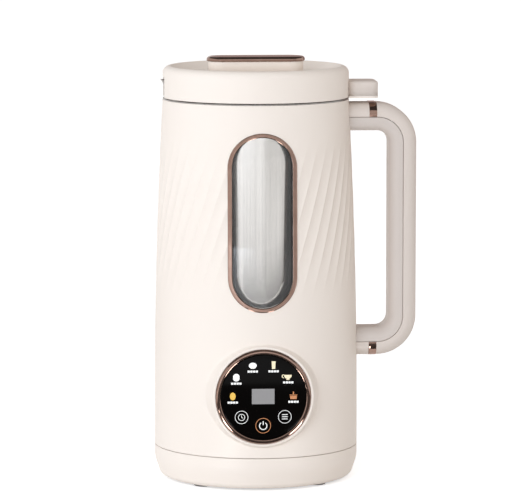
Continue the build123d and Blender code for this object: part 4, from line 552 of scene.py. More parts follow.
columns = FLUTES * PER_FLUTE
rows = [SHELL_LOW + up for _, up in EDGE_ROUND]
rows += list(np.linspace(SHELL_LOW + EDGE_BAND, SHELL_TOP - EDGE_BAND, OUTER_ROWS))
rows += [SHELL_TOP - up for _, up in reversed(EDGE_ROUND)]
skin = fluted_grid(columns, rows)
for step, (pull, _) in enumerate(EDGE_ROUND):
    for row in (step, len(rows) - 1 - step):
        skin[row, :, :2] *= 1 - pull / wall_radius(rows[row])
inner_rows = [SHELL_TOP] + list(np.arange(INNER_HIGH, INNER_LOW, -INNER_STEP)) + [SHELL_LOW]
inner = fluted_grid(columns, inner_rows)
for row, z in enumerate(inner_rows):
    inner[row, :, :2] *= (wall_radius(z) - WALL) / np.hypot(inner[row, :, 0], inner[row, :, 1])[:, None]
every = np.concatenate([skin, inner]).reshape(-1, 3)
quads = grid_faces(len(rows) + len(inner_rows), columns, wrap_rows=True)
middles = every[np.array(quads)].mean(1)
kept = ~open_place(middles[:, 0], middles[:, 1], middles[:, 2])
shell_points, shell_faces = every, [q for q, keep in zip(quads, kept) if keep]
print("skin has", len(shell_faces), "faces, with", len(quads) - len(shell_faces), "left out at the openings")

# %% [markdown]
# Two collars close the openings of the skin. The touch panel stands in a drafted boss that flows out of
# the wall with a soft fillet, and the power inlet at the back sits on a flat pad. Each is a patch that
# takes the outermost of the wall and its own form, blended softly, and laps a hair over the skin.

# %% Collars of the touch panel and the inlet
LAP = 0.02
RECESS_RINGS = [(28.3, -2.4), (28.3, -0.5), (28.42, -0.15), (28.7, 0.0)]
COLLAR_IN, COLLAR_OUT, COLLAR_RINGS = 29.0, 36.6, 40
BOSS_R, BOSS_DRAFT, BOSS_FILLET, BOSS_END, BOSS_FADE = 29.8, math.radians(16.0), 2.2, 34.6, 2.0
EDGE_DROP, EDGE_REACH = 0.35, 0.3
PAD_FACE, PAD_HALF_X, PAD_HALF_Z, PAD_SLOPE, PAD_FILLET = 60.4, 17.5, 14.0, 6.0, 0.5
PATCH_HALF_X, PATCH_LOW, PATCH_HIGH, PATCH_STEP = 20.0, 20.9, 55.6, 0.5
FLANGE_HALF_X, FLANGE_HALF_Z, SOCKET_HALF_X, SOCKET_HALF_Z = 15.8, 12.3, 13.7, 10.1


def soft_max(first, second, blend):
    """The larger of two depths, rounded where they cross."""
    gap = np.clip(0.5 + (first - second) / (2 * blend), 0, 1)
    return second + (first - second) * gap + blend * gap * (1 - gap)


def panel_collar():
    """Rings round the panel's axis, from the bezel's recess over the boss's soft edge out to the wall."""
    turns = np.linspace(0, 2 * math.pi, 240, endpoint=False)
    points = []
    for reach, depth in RECESS_RINGS:
        y = -(PANEL_FACE + depth)
        points.append([(reach * math.cos(t), y, PANEL_Z + reach * math.sin(t)) for t in turns])
    for reach in np.linspace(COLLAR_IN, COLLAR_OUT, COLLAR_RINGS):
        x, z = reach * np.cos(turns), PANEL_Z + reach * np.sin(turns)
        wall = np.sqrt(wall_radius(z) ** 2 - x ** 2)
        boss = PANEL_FACE - max(0.0, reach - BOSS_R) / math.tan(BOSS_DRAFT)
        boss -= EDGE_DROP * math.exp(-max(0.0, BOSS_R - reach) / EDGE_REACH)
        depth = soft_max(np.full_like(wall, boss), wall, BOSS_FILLET)
        depth = wall + LAP + (depth - wall) * float(1 - ease((reach - BOSS_END) / BOSS_FADE))
        points.append(np.stack([x, -depth, z], 1).tolist())
    flat = [p for ring in points for p in ring]
    return flat, grid_faces(len(points), len(turns))


def inlet_patch():
    """Grid over the inlet's pad at the back, with the hole that the inlet drops into."""
    xs = np.arange(-PATCH_HALF_X, PATCH_HALF_X + PATCH_STEP, PATCH_STEP)
    zs = np.arange(PATCH_LOW, PATCH_HIGH, PATCH_STEP)
    x, z = np.meshgrid(xs, zs)
    wall = np.sqrt(wall_radius(z) ** 2 - x ** 2)
    outside = np.maximum(np.abs(x) - PAD_HALF_X, np.abs(z - INLET_Z) - PAD_HALF_Z)
    pad = PAD_FACE - np.clip(outside, 0, None) * PAD_SLOPE
    flange = (np.abs(x) < FLANGE_HALF_X) & (np.abs(z - INLET_Z) < FLANGE_HALF_Z)
    depth = np.where(flange, PAD_FACE, soft_max(pad, wall, PAD_FILLET) + LAP)
    points = np.stack([x, depth, z], 2).reshape(-1, 3)
    faces = grid_faces(len(zs), len(xs), wrap_columns=False)
    middle = points[np.array(faces)].mean(1)
    hole = (np.abs(middle[:, 0]) < SOCKET_HALF_X) & (np.abs(middle[:, 2] - INLET_Z) < SOCKET_HALF_Z)
    return points.tolist(), [tuple(reversed(f)) for f, gone in zip(faces, hole) if not gone]


def joined(parts):
    """One list of points and faces out of several."""
    points, faces = [], []
    for some_points, some_faces in parts:
        start = len(points)
        points.extend([tuple(p) for p in some_points])
        faces.extend([tuple(i + start for i in f) for f in some_faces])
    return points, faces


points, faces = joined([(shell_points.tolist(), shell_faces), panel_collar(), inlet_patch()])
shell_skin = make_piece("fluted_shell_skin", points, faces, 9.0)
dress(shell_skin, "cream_shell", "housing", "outer_shell")
print("shell skin:", len(shell_skin.data.polygons), "faces")

# %% [markdown]
# The window is a capsule. Its plated trim follows the curve of the wall, stands a little proud and turns
# in round the opening, with rounded edges that catch thin glints. Sweeping a small section round the
# capsule keeps the plating even, which a scaled torus wouldn't. The lens is built of the same rings,
# some at its front and some at its rear, from the edge in to the middle.

# %% Window trim and lens
TRIM_PROUD, TRIM_SEAT, TRIM_BACK, TRIM_WIDE, TRIM_WALL = 0.6, -0.05, -3.4, 2.55, 0.9
LENS_FRONT, LENS_BACK = -0.3, -2.3


def capsule(width, height, ends=40, sides=40):
    """Points and outward directions round an upright capsule."""
    radius, straight = width / 2, (height - width) / 2
    points, ways = [], []
    for low, high, centre in ((0.0, math.pi, straight), (math.pi, 2 * math.pi, -straight)):
        for step in range(ends):
            turn = low + (high - low) * step / ends
            points.append((radius * math.cos(turn), centre + radius * math.sin(turn)))
            ways.append((math.cos(turn), math.sin(turn)))
        side = -1 if centre > 0 else 1
        for step in range(sides):
            share = step / sides
            points.append((side * radius, centre * (1 - 2 * share)))
            ways.append((side, 0.0))
    return np.array(points), np.array(ways)


def round_window(out_and_proud):
    """Rings that follow the wall round the window, each at a step out from the clear opening and proud."""
    points, ways = capsule(WINDOW_WIDE, WINDOW_TALL)
    rings = []
    for out, proud in out_and_proud:
        x = points[:, 0] + ways[:, 0] * out
        z = WINDOW_Z + points[:, 1] + ways[:, 1] * out
        y = -np.sqrt((wall_radius(z) + proud) ** 2 - x ** 2)
        rings.append(np.stack([x, y, z], 1))
    return np.stack(rings)


trim_section = rounded(
    [(0.0, TRIM_BACK), (0.0, TRIM_PROUD), (TRIM_WIDE, TRIM_PROUD), (TRIM_WIDE, TRIM_SEAT),
     (TRIM_WALL, TRIM_SEAT), (TRIM_WALL, TRIM_BACK)],
    [0, 0.55, 0.5, 0.05, 0, 0], 6, True
)
trim = looped("window_trim_ring", round_window(trim_section))
dress(trim, "rose_gold", "housing", "window_trim")

lens_steps = [-0.1, -0.25, -0.6, -2, -4, -7, -10, -13, -16, -17.95]
front = round_window([(out, LENS_FRONT) for out in lens_steps])
rear = round_window([(out, LENS_BACK) for out in reversed(lens_steps)])
lens = looped("window_lens_skin", np.concatenate([front, rear]))
dress(lens, "clear_lens", "housing", "window_lens")
print("trim and lens:", len(trim.data.polygons), len(lens.data.polygons), "faces")

# %% [markdown]
# Between the lens and the cup a dark rubber gasket closes the gap, and through the lens it shows as a
# dark band down each side. It is a thin tunnel: the same capsule, carried from behind the lens straight
# in to the cup.

# %% Window gasket
GASKET_FRONT, GASKET_INNER_R = -2.4, 51.0


def gasket_ring(out, inward):
    """Ring a step out from the clear opening, moved inward by a share of the way to the cup."""
    ring = round_window([(out, GASKET_FRONT)])[0]
    turn = np.arctan2(ring[:, 0], -ring[:, 1])
    reach = wall_radius(ring[:, 2]) + GASKET_FRONT
    reach = reach + (GASKET_INNER_R - reach) * inward
    ring[:, 0], ring[:, 1] = reach * np.sin(turn), -reach * np.cos(turn)
    return ring


gasket_steps = [(0.05, 0.0), (0.05, 0.5), (0.05, 1.0), (2.2, 1.0), (2.2, 0.0)]
gasket = looped("window_gasket_skin", [gasket_ring(out, inward) for out, inward in gasket_steps])
dress(gasket, "dark_gasket", "housing", "window_gasket")
print("gasket from radius", round(float(wall_radius(WINDOW_Z)) + GASKET_FRONT, 1), "in to", GASKET_INNER_R)

# %% [markdown]
# The steel cup shows behind the lens as a bright wall with streaks, so its outside needs to be truly
# round. It is spun from one closed profile with the rolled bead at its neck. The rim ring, which shows
# as a thin line under the lid, is spun as well. The beak is a second thin wall at the left, a leaning
# half funnel cut off on a slant.

# %% Steel cup, beak and rim
CUP_R, CUP_OUT, CUP_UNDER, CUP_FLOOR, NECK_TOP = 50.0, 50.8, 96.2, 97.0, 238.0
SEAL_HOLE, BEAD = 11.7, 0.7
BEAK_FOOT_Z, BEAK_LIP_Z, BEAK_WALL = 230.3, 241.5, 0.8
BEAK_FOOT_X, BEAK_LIP_X, BEAK_FOOT_R, BEAK_LIP_R = 44.0, 50.0, 7.0, 7.4
SLANT_LOW, SLANT_HIGH, SLANT_RUN = 238.9, 241.3, 13.4
RIM_IN, RIM_OUT, RIM_TOP = 50.95, 55.85, SHELL_TOP + 0.8
cup_profile = rounded(
    [(SEAL_HOLE, CUP_UNDER), (CUP_OUT, CUP_UNDER), (CUP_OUT, NECK_TOP - 0.9),
     (CUP_OUT + BEAD, NECK_TOP - 0.5), (CUP_OUT + BEAD, NECK_TOP + 0.5), (CUP_OUT - 0.5, NECK_TOP + 0.7),
     (CUP_R, NECK_TOP - 0.2), (CUP_R, CUP_FLOOR), (SEAL_HOLE, CUP_FLOOR)],
    [0, 8.8, 0.4, 0.5, 0.5, 0.5, 0.4, 8.0, 0], 7
)
cup = spun("steel_cup_skin", cup_profile, 240, closed=True, crisp=35.0)


def beak_wall(inset):
    """Half rings of the beak's cone, from its foot on the neck up to the slanting lip."""
    rings = []
    for share in np.linspace(0.0, 1.0, 9):
        centre = -(BEAK_FOOT_X + (BEAK_LIP_X - BEAK_FOOT_X) * share)
        radius = BEAK_FOOT_R + (BEAK_LIP_R - BEAK_FOOT_R) * share - inset
        level = BEAK_FOOT_Z + (BEAK_LIP_Z - BEAK_FOOT_Z) * share
        ring = []
        for turn in np.linspace(math.pi / 2, 3 * math.pi / 2, 49):
            x, y = centre + radius * math.cos(turn), radius * math.sin(turn)
            lip = SLANT_LOW + (SLANT_HIGH - SLANT_LOW) * (-x - BEAK_FOOT_X) / SLANT_RUN
            ring.append((x, y, min(level, lip)))
        rings.append(ring)
    return rings


beak = looped("steel_beak", beak_wall(0.0) + list(reversed(beak_wall(BEAK_WALL))), wrap_columns=False)
dress(cup, "cup_steel", "housing", "inner_cup")
# The beak here and the rim below take a darker steel than the cup: painted shade in the gap under the lid.
dress(beak, "cup_steel", "housing", "inner_cup", finish="rim_steel_painted_shade")
rim_profile = rounded(
    [(RIM_IN, SHELL_TOP), (RIM_OUT, SHELL_TOP), (RIM_OUT, RIM_TOP), (RIM_IN, RIM_TOP)], [0, 0.15, 0.15, 0], 4
)
rim = spun("rim_ring_skin", rim_profile, 240, closed=True)
# The rim's darker steel is painted shade of the gap under the lid.
dress(rim, "cup_steel", "housing", "rim_ring", finish="rim_steel_painted_shade")
print("cup, beak and rim ready, neck top at", NECK_TOP)

# %% [markdown]
# The lid is a shallow dish with a rounded rim and a plain skirt. Spinning its profile gives the even
# highlight on the rim that a bevel would only come near to. The notch for the beak isn't round, so a
# boolean cuts it: its cutter is a slab, which is a plan outline with rounded top and bottom edges. The
# tab over the handle is a slab too, and laps into the skirt.

# %% Lid cover
LID_R, LID_LOW, LID_TOP, DISH, LID_CRISP = 56.0, 230.5, 249.3, 244.3, 35.0
DISH_FLAT, DISH_EDGE, SKIRT_IN = 44.0, 51.1, 53.8
UNDER_FLAT, UNDER_EDGE, DISH_UNDER, LID_UNDER = 44.7, 52.2, 242.1, 247.1
NOTCH_X, NOTCH_HALF, NOTCH_HEIGHTS = (-70.0, -51.6), 8.2, (224.0, 243.0)
TAB_X, TAB_HALF, TAB_HEIGHTS = (54.6, 73.1), 12.0, (231.3, 240.2)
lid_profile = rounded(
    [(0, DISH), (DISH_FLAT, DISH), (DISH_EDGE, LID_TOP), (LID_R, LID_TOP), (LID_R, LID_LOW),
     (SKIRT_IN, LID_LOW), (SKIRT_IN, LID_UNDER), (UNDER_EDGE, LID_UNDER),
     (UNDER_FLAT, DISH_UNDER), (0, DISH_UNDER)],
    [0, 4.0, 1.5, 4.2, 0.4, 0.4, 0.4, 0.4, 4.0, 0], 8
)
lid = spun("lid_cover_skin", lid_profile, 256, crisp=LID_CRISP)


def slab(name, outline, low, high, top_round, bottom_round=0.0, steps=6):
    """Upright block with rounded top and bottom edges, from a plan of points and outward directions."""
    plan, ways = outline
    turns = [math.pi / 2 * step / steps for step in range(steps + 1)]
    levels = [(-bottom_round * (1 - math.sin(t)), low + bottom_round * (1 - math.cos(t))) for t in turns]
    levels += [(-top_round * (1 - math.cos(t)), high - top_round * (1 - math.sin(t))) for t in turns]
    points = [(x + wx * pull, y + wy * pull, z) for pull, z in levels for (x, y), (wx, wy) in zip(plan, ways)]
    return capped(name, points, len(plan))


def rounded_plan(x0, x1, half, radius, steps=10):
    """Plan of a rounded rectangle, with outward directions."""
    points, ways = [], []
    for cx, cy, start in ((x1 - radius, half - radius, 0), (x0 + radius, half - radius, 90),
                          (x0 + radius, -half + radius, 180), (x1 - radius, -half + radius, 270)):
        for step in range(steps + 1):
            turn = math.radians(start + 90 * step / steps)
            points.append((cx + radius * math.cos(turn), cy + radius * math.sin(turn)))
            ways.append((math.cos(turn), math.sin(turn)))
    return points, ways


cutter = slab("notch_cutter", rounded_plan(*NOTCH_X, NOTCH_HALF, 0.3), *NOTCH_HEIGHTS, 0.01)
cut = lid.modifiers.new("beak notch", "BOOLEAN")
cut.object, cut.operation, cut.solver = cutter, "DIFFERENCE", "EXACT"
bpy.context.view_layer.update()
notched = bpy.data.meshes.new_from_object(lid.evaluated_get(bpy.context.evaluated_depsgraph_get()))
lid.modifiers.clear()
lid.data = notched
lid.data.set_sharp_from_angle(angle=math.radians(LID_CRISP))
bpy.data.objects.remove(cutter)
tab = slab("lid_tab", rounded_plan(*TAB_X, TAB_HALF, 5.0), *TAB_HEIGHTS, 1.6)
dress(lid, "cream_lid", "lid", "lid_cover")
# The tab takes the handle's darker cream: painted shade of the lid over it.
dress(tab, "cream_lid", "lid", "lid_cover", finish="cream_handle")
print("lid:", len(lid.data.polygons), "faces after the notch")

# %% [markdown]
# The grip on the lid is a capsule-shaped block under a plated plate with soft edges. Both could be
# stretched cubes with a bevel, but slabs from one capsule plan keep their round ends true. The plate is
# a little larger, so that a thin shadow line shows between them.

# %% Grip and its plate
GRIP_SIZE, PLATE_SIZE, PLATE_LOW, PLATE_TOP = (57.1, 18.5), (59.3, 20.7), 252.1, 255.0


def capsule_plan(length, width):
    """Plan of a capsule along x, with outward directions."""
    points, ways = capsule(width, length, 24, 20)
    return [(y, -x) for x, y in points], [(y, -x) for x, y in ways]


grip = slab("grip_block", capsule_plan(*GRIP_SIZE), DISH, PLATE_LOW, 0.25)
plate = slab("grip_plate", capsule_plan(*PLATE_SIZE), PLATE_LOW, PLATE_TOP, 1.9, 0.7)
dress(grip, "cream_lid", "lid", "lid_grip")
dress(plate, "rose_gold", "lid", "grip_trim")
print("grip", round(PLATE_LOW - DISH, 1), "mm high under a plate of", round(PLATE_TOP - PLATE_LOW, 1), "mm")

# %% [markdown]
# The handle is one section swept round a D loop and split down its middle into an outer and an inner
# moulding. Each half is swept by itself with a small round at the split, and the two rounds make the
# fine seam that runs round the loop.

# %% Handle halves
ARM_HIGH, ARM_LOW, LEG_X, BEND = 218.6, 82.5, 88.2, 15.6
HALF_WIDE, HALF_DEEP, HALF_ROUND, SEAM = 12.0, 8.4, 6.5, 0.1
INSIDE_WALL_HIGH, INSIDE_WALL_LOW = 55.0, 59.0


def handle_loop(step_length=6.0):
    """Places round the loop, long runs cut into steps of about a length, and the ways out of its inside."""
    corners = [(INSIDE_WALL_HIGH, ARM_HIGH), (LEG_X, ARM_HIGH), (LEG_X, ARM_LOW), (INSIDE_WALL_LOW, ARM_LOW)]
    path = np.array(rounded(corners, [0, BEND, BEND, 0], 28))
    full = [path[0]]
    for nearer, further in zip(path[:-1], path[1:]):
        count = max(1, int(np.linalg.norm(further - nearer) / step_length))
        full += [nearer + (further - nearer) * (i + 1) / count for i in range(count)]
    full = np.array(full)
    way = np.gradient(full, axis=0)
    way /= np.linalg.norm(way, axis=1)[:, None]
    return full, np.stack([-way[:, 1], way[:, 0]], 1)


def swept_half(name, side):
    """One half of the handle, swept from inside the wall to inside the wall: side is 1 for the outer."""
    path, outward = handle_loop()
    corners = [(-HALF_WIDE, SEAM), (HALF_WIDE, SEAM), (HALF_WIDE, HALF_DEEP), (-HALF_WIDE, HALF_DEEP)]
    outline = rounded(corners, [0.45, 0.45, HALF_ROUND, HALF_ROUND], 9, True)
    section = [(across, side * out) for across, out in outline]
    points = []
    for (x, z), (ox, oz) in zip(path, outward):
        points += [(x + ox * out, across, z + oz * out) for across, out in section]
    return capped(name, points, len(section))


# Both halves carry painted shade in their colour: the handle's cream is darker than the body's, and the inner
# half is greyer still, partly by its own tint.
dress(swept_half("handle_outer_half", 1), "cream_handle", "housing", "handle_outer")
dress(swept_half("handle_inner_half", -1), "cream_handle", "housing", "handle_inner", finish="handle_inside_tint_and_shade")
print("gap for the fingers:", round(ARM_HIGH - ARM_LOW - 2 * HALF_DEEP, 1), "mm high")

# %% [markdown]
# A bright band wraps the outer half of each arm. It could be a stripe of another material on the handle,
# but the real one is a piece of its own. It stands a quarter of a millimetre proud, with its edges
# eased, so the plating catches dark and light lines as real plating does.

# %% Handle bands
BAND_STEPS = [(67.6, -0.1), (67.65, 0.12), (67.8, 0.22), (68.0, 0.25),
              (71.9, 0.25), (72.1, 0.22), (72.25, 0.12), (72.3, -0.1)]


def band(name, upper):
    """Plated band over the outer half of one arm."""
    side = 1 if upper else -1
    middle = ARM_HIGH if upper else ARM_LOW
    points = []
    for x, proud in BAND_STEPS:
        wide, deep, bend = HALF_WIDE + proud, HALF_DEEP + proud, HALF_ROUND + proud
        corners = [(-wide, 0.15), (-wide, deep), (wide, deep), (wide, 0.15)]
        section = rounded(corners, [0.2, bend, bend, 0.2], 12, True)
        points += [(x, across, middle + side * out) for across, out in section]
    piece = capped(name, points, len(section), 40.0)
    return dress(piece, "rose_gold", "housing", "handle_bands")


band("band_high", True)
band("band_low", False)
print("bands", round(BAND_STEPS[-1][0] - BAND_STEPS[0][0], 1), "mm wide")

# %% [markdown]
# The touch panel is a black glass in a plated bezel. Both are spun like the cup, but about the panel's
# own axis, which points at the viewer. The bezel's outer edge has the larger round, because that is
# where the plating gathers its glints.

# %% Bezel and glass
BEZEL_IN, BEZEL_OUT, BEZEL_FACE, BEZEL_SEAT, BEZEL_BACK = 25.45, 28.2, 64.5, 61.6, 61.5
GLASS_R, GLASS_FACE, GLASS_BACK = 25.25, 64.1, 62.3


def facing(profile, steps, name):
    """Piece spun about the panel's axis from points of (radius, distance from the pot's axis)."""
    turns = np.linspace(0, 2 * math.pi, steps, endpoint=False)
    points = []
    for radius, depth in profile:
        for turn in turns:
            points.append((radius * math.cos(turn), -depth, PANEL_Z + radius * math.sin(turn)))
    piece = make_piece(name, points, grid_faces(len(profile), steps), 40.0)
    weld(piece)
    return piece


bezel_profile = rounded(
    [(BEZEL_IN, BEZEL_SEAT), (BEZEL_IN, BEZEL_FACE), (BEZEL_OUT, BEZEL_FACE), (BEZEL_OUT, BEZEL_BACK)],
    [0, 0.7, 1.4, 0], 8
)
bezel = facing(bezel_profile, 240, "bezel_ring")
dress(bezel, "rose_gold", "housing", "panel_bezel")
glass_profile = rounded(
    [(0, GLASS_FACE), (GLASS_R, GLASS_FACE), (GLASS_R, GLASS_BACK), (0, GLASS_BACK)], [0, 0.4, 0.1, 0], 5
)
glass = facing(glass_profile, 192, "touch_glass")
dress(glass, "panel_glass", "housing", "panel_glass")
print("glass lies", round(BEZEL_FACE - GLASS_FACE, 1), "mm behind the bezel's face")

# %% [markdown]
# The keys are printed behind the glass and lit from the board. A picture mapped on the glass would do
# for one view, but ink as a finish of its own stays sharp from near. It takes the moulded grain for a
# faint mottling, and its colour feeds a weak glow, so that white stays white in the shade.

# %% Ink finishes
def ink(name, colour, shade, glow):
    """Printed ink, slightly mottled, with a soft light of its own."""
    material, tree, effect, _ = finish_from(
        name, grain_tree, colour, shade, smooth=0.35, rough=0.5, bump=0.02, bump_depth=0.0001
    )
    effect.inputs["Grain"].default_value = 700.0
    shader = tree.nodes["Principled BSDF"]
    tree.links.new(effect.outputs["Colour"], shader.inputs["Emission Color"])
    shader.inputs["Emission Strength"].default_value = glow
    return material


inks = {
    "white": ink("ink_white", screen(240, 240, 238), screen(228, 228, 226), 0.35),
    "cream": ink("ink_cream", screen(236, 226, 196), screen(222, 208, 170), 0.3),
    "yellow": ink("ink_yellow", screen(226, 186, 84), screen(206, 160, 60), 0.3),
    "amber": ink("ink_amber", screen(196, 132, 84), screen(176, 112, 66), 0.3),
    "grey": ink("ink_grey", screen(146, 144, 144), screen(134, 132, 132), 0.12),
}
print("inks", list(inks))

# %% [markdown]
# A printed shape is a flat outline. Discs, ribbons and rings are enough to build small signs from, and
# one function lays such outlines a hair above the glass, all facing the viewer. Text objects or traced
# curves could serve too, but outlines need no font and stay light.

# %% Outlines for printing
INK_FACE = GLASS_FACE + 0.03


def disc(u, w, radius, steps=40, squash=1.0):
    """Outline of a disc."""
    turns = [2 * math.pi * i / steps for i in range(steps)]
    return [(u + radius * math.cos(t), w + squash * radius * math.sin(t)) for t in turns]


def ribbon(points, width):
    """Strips of a given width along a line of points."""
    shapes = []
    for (u0, w0), (u1, w1) in zip(points[:-1], points[1:]):
        length = math.hypot(u1 - u0, w1 - w0)
        nu, nw = -(w1 - w0) / length * width / 2, (u1 - u0) / length * width / 2
        shapes.append([(u0 + nu, w0 + nw), (u0 - nu, w0 - nw), (u1 - nu, w1 - nw), (u1 + nu, w1 + nw)])
    return shapes


def ring(u, w, radius, width, start=0.0, end=360.0, steps=48):
    """Strips of a ring or an arc."""
    turns = [math.radians(start + (end - start) * i / steps) for i in range(steps + 1)]
    return ribbon([(u + radius * math.cos(t), w + radius * math.sin(t)) for t in turns], width)


def printed(name, colour, shapes):
    """Flat ink shapes on the glass."""
    points, faces = [], []
    for shape in shapes:
        area = sum(a[0] * b[1] - b[0] * a[1] for a, b in zip(shape, shape[1:] + shape[:1]))
        shape = shape if area > 0 else list(reversed(shape))
        faces.append(tuple(range(len(points), len(points) + len(shape))))
        points += [(u, -INK_FACE, PANEL_Z + w) for u, w in shape]
    piece = make_piece(name, points, faces)
    piece.data.materials.append(inks[colour])
    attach(piece, "housing")
    return piece


print("strips in a small ring:", len(ring(0, 0, 2, 0.5, steps=24)))

# %% [markdown]
# The panel offers six programs and three keys. Each program gets a plain sign, such as a bowl, a glass
# or a pot, with a row of small marks under it where the real one has its name. The three ringed keys
# carry a clock, a start mark and a list, and the display is a grey window.

# %% Printed keys
def bowl(u, w, width, drop):
    """Half round bowl with a foot."""
    turns = [math.pi + math.pi * i / 20 for i in range(21)]
    body = [(u + width / 2 * math.cos(t), w + drop * math.sin(t)) for t in turns]
    foot = [(u - width / 5, w - drop), (u + width / 5, w - drop), (u + width / 5, w - drop - 0.5),
            (u - width / 5, w - drop - 0.5)]
    return [body, foot]


def tumbler(u, w, top, bottom, height):
    """Tapered glass."""
    low, high = w - height / 2, w + height / 2
    return [[(u - bottom / 2, low), (u + bottom / 2, low), (u + top / 2, high), (u - top / 2, high)]]


def lid_bar(u, w, width, thick):
    """Short bar over a vessel."""
    return [[(u - width / 2, w), (u + width / 2, w), (u + width / 2, w + thick), (u - width / 2, w + thick)]]


printed("key_bowl", "white", [disc(-6.35, 18.9, 2.35, 32, 0.75)] + lid_bar(-6.35, 17.1, 2.4, 0.6))
printed("key_glass", "cream", tumbler(5.95, 19.1, 2.3, 1.9, 4.6))
printed("key_can", "white", [disc(-16.1, 12.4, 1.9, 32, 0.9), disc(-16.1, 11.3, 1.9, 32, 0.9)])
printed("key_cup", "cream", bowl(14.4, 13.2, 4.6, 2.5) + ring(11.9, 12.4, 0.9, 0.5, 80, 280, 16))
printed("key_corn", "yellow", [disc(-18.2, 0.7, 1.7, 32, 1.35)])
printed("key_pot", "amber", tumbler(17.7, -0.3, 4.2, 3.6, 2.0) + lid_bar(17.7, 1.0, 4.6, 0.4)
        + lid_bar(17.7, 1.6, 0.7, 1.5))
places = [(-18.2, -3.0), (-16.1, 8.3), (-6.35, 15.4), (5.95, 15.4), (14.6, 8.7), (17.7, -2.9)]
printed("key_marks", "white", [s for u, w in places for step in (-2.4, -0.8, 0.8, 2.4)
                               for s in lid_bar(u + step, w - 0.6, 1.3, 1.2)])
printed("display_window", "grey", [[(-6.9, -4.1), (6.5, -4.1), (6.5, 5.0), (-6.9, 5.0)]])
printed("key_clock", "white", ring(-13.0, -11.9, 3.8, 0.28) + ring(-13.0, -11.9, 1.9, 0.3)
        + ribbon([(-13.0, -10.7), (-13.0, -11.9), (-12.1, -12.4)], 0.3))
printed("key_list", "white", ring(12.6, -11.8, 3.8, 0.28)
        + [s for step in (-1.3, 0.0, 1.3) for s in ribbon([(10.9, -11.8 + step), (14.3, -11.8 + step)], 0.4)])
printed("key_start", "amber", ring(-0.2, -17.0, 4.4, 0.34))
printed("key_start_mark", "white", ring(-0.2, -17.1, 2.2, 0.5, 125, 415, 36)
        + ribbon([(-0.2, -16.6), (-0.2, -14.3)], 0.5))
print("nine keys printed", round(INK_FACE - GLASS_FACE, 2), "mm above the glass")

# %% [markdown]
# The studio begins with a pale floor, which catches the pot's soft shadow. A white floor would need
# strong lamps, and they would bleach the cream. So the floor is pale grey paint with a glow that only
# the camera, gloss and glass can see, and the light on the pot stays level.

# %% Floor
FLOOR_HALF, FLOOR_GREY, FLOOR_GLOW = 30000, 0.86, 0.55


def lifted(tree, place):
    """1 for camera, glossy and transmission rays, 0 for the others."""
    rays = add_node(tree, "ShaderNodeLightPath", (place[0] - 400, place[1]))
    first = add_node(tree, "ShaderNodeMath", (place[0] - 200, place[1]), operation="MAXIMUM")
    second = add_node(tree, "ShaderNodeMath", (place[0] - 100, place[1]), operation="MAXIMUM")
    tree.links.new(rays.outputs["Is Camera Ray"], first.inputs[0])
    tree.links.new(rays.outputs["Is Glossy Ray"], first.inputs[1])
    tree.links.new(first.outputs[0], second.inputs[0])
    tree.links.new(rays.outputs["Is Transmission Ray"], second.inputs[1])
    return second.outputs[0]


def flat_sheet(name, half_x, half_y):
    """One flat quad about its own middle."""
    points = [(-half_x, -half_y, 0), (half_x, -half_y, 0), (half_x, half_y, 0), (-half_x, half_y, 0)]
    return make_piece(name, points, [(0, 1, 2, 3)])


floor = flat_sheet("studio_floor", FLOOR_HALF, FLOOR_HALF)
floor_finish = bpy.data.materials.new("floor_paint")
floor_finish.use_nodes = True
tree = floor_finish.node_tree
paint = tree.nodes["Principled BSDF"]
paint.inputs["Base Color"].default_value = (FLOOR_GREY, FLOOR_GREY, FLOOR_GREY, 1)
paint.inputs["Roughness"].default_value = 0.9
paint.inputs["Specular IOR Level"].default_value = 0.0
mottle = add_node(tree, "ShaderNodeTexNoise", (-600, 300), Scale=3.0)
mottle_range = add_node(tree, "ShaderNodeMapRange", (-400, 300))
mottle_range.inputs["To Min"].default_value = 0.88
mottle_range.inputs["To Max"].default_value = 0.92
tree.links.new(mottle.outputs["Fac"], mottle_range.inputs["Value"])
tree.links.new(mottle_range.outputs["Result"], paint.inputs["Roughness"])
glow = add_node(tree, "ShaderNodeEmission", (0, -200))
shine = lifted(tree, (-200, -300))
boost = add_node(tree, "ShaderNodeMath", (0, -400), operation="MULTIPLY")
tree.links.new(shine, boost.inputs[0])
boost.inputs[1].default_value = FLOOR_GLOW
tree.links.new(boost.outputs[0], glow.inputs["Strength"])
total = add_node(tree, "ShaderNodeAddShader", (300, 0))
tree.links.new(paint.outputs[0], total.inputs[0])
tree.links.new(glow.outputs[0], total.inputs[1])
tree.links.new(total.outputs[0], tree.nodes["Material Output"].inputs["Surface"])
floor.data.materials.append(floor_finish)
print("floor laid, glow", FLOOR_GLOW)

# %% [markdown]
# The sky fills the shade. To the camera, gloss and glass it is plain white, which also makes the white
# ground of the picture. To the pot it is slightly warm and falls off overhead, so that the sides stay
# bright and the undersides of the lid and the handle stay readable.

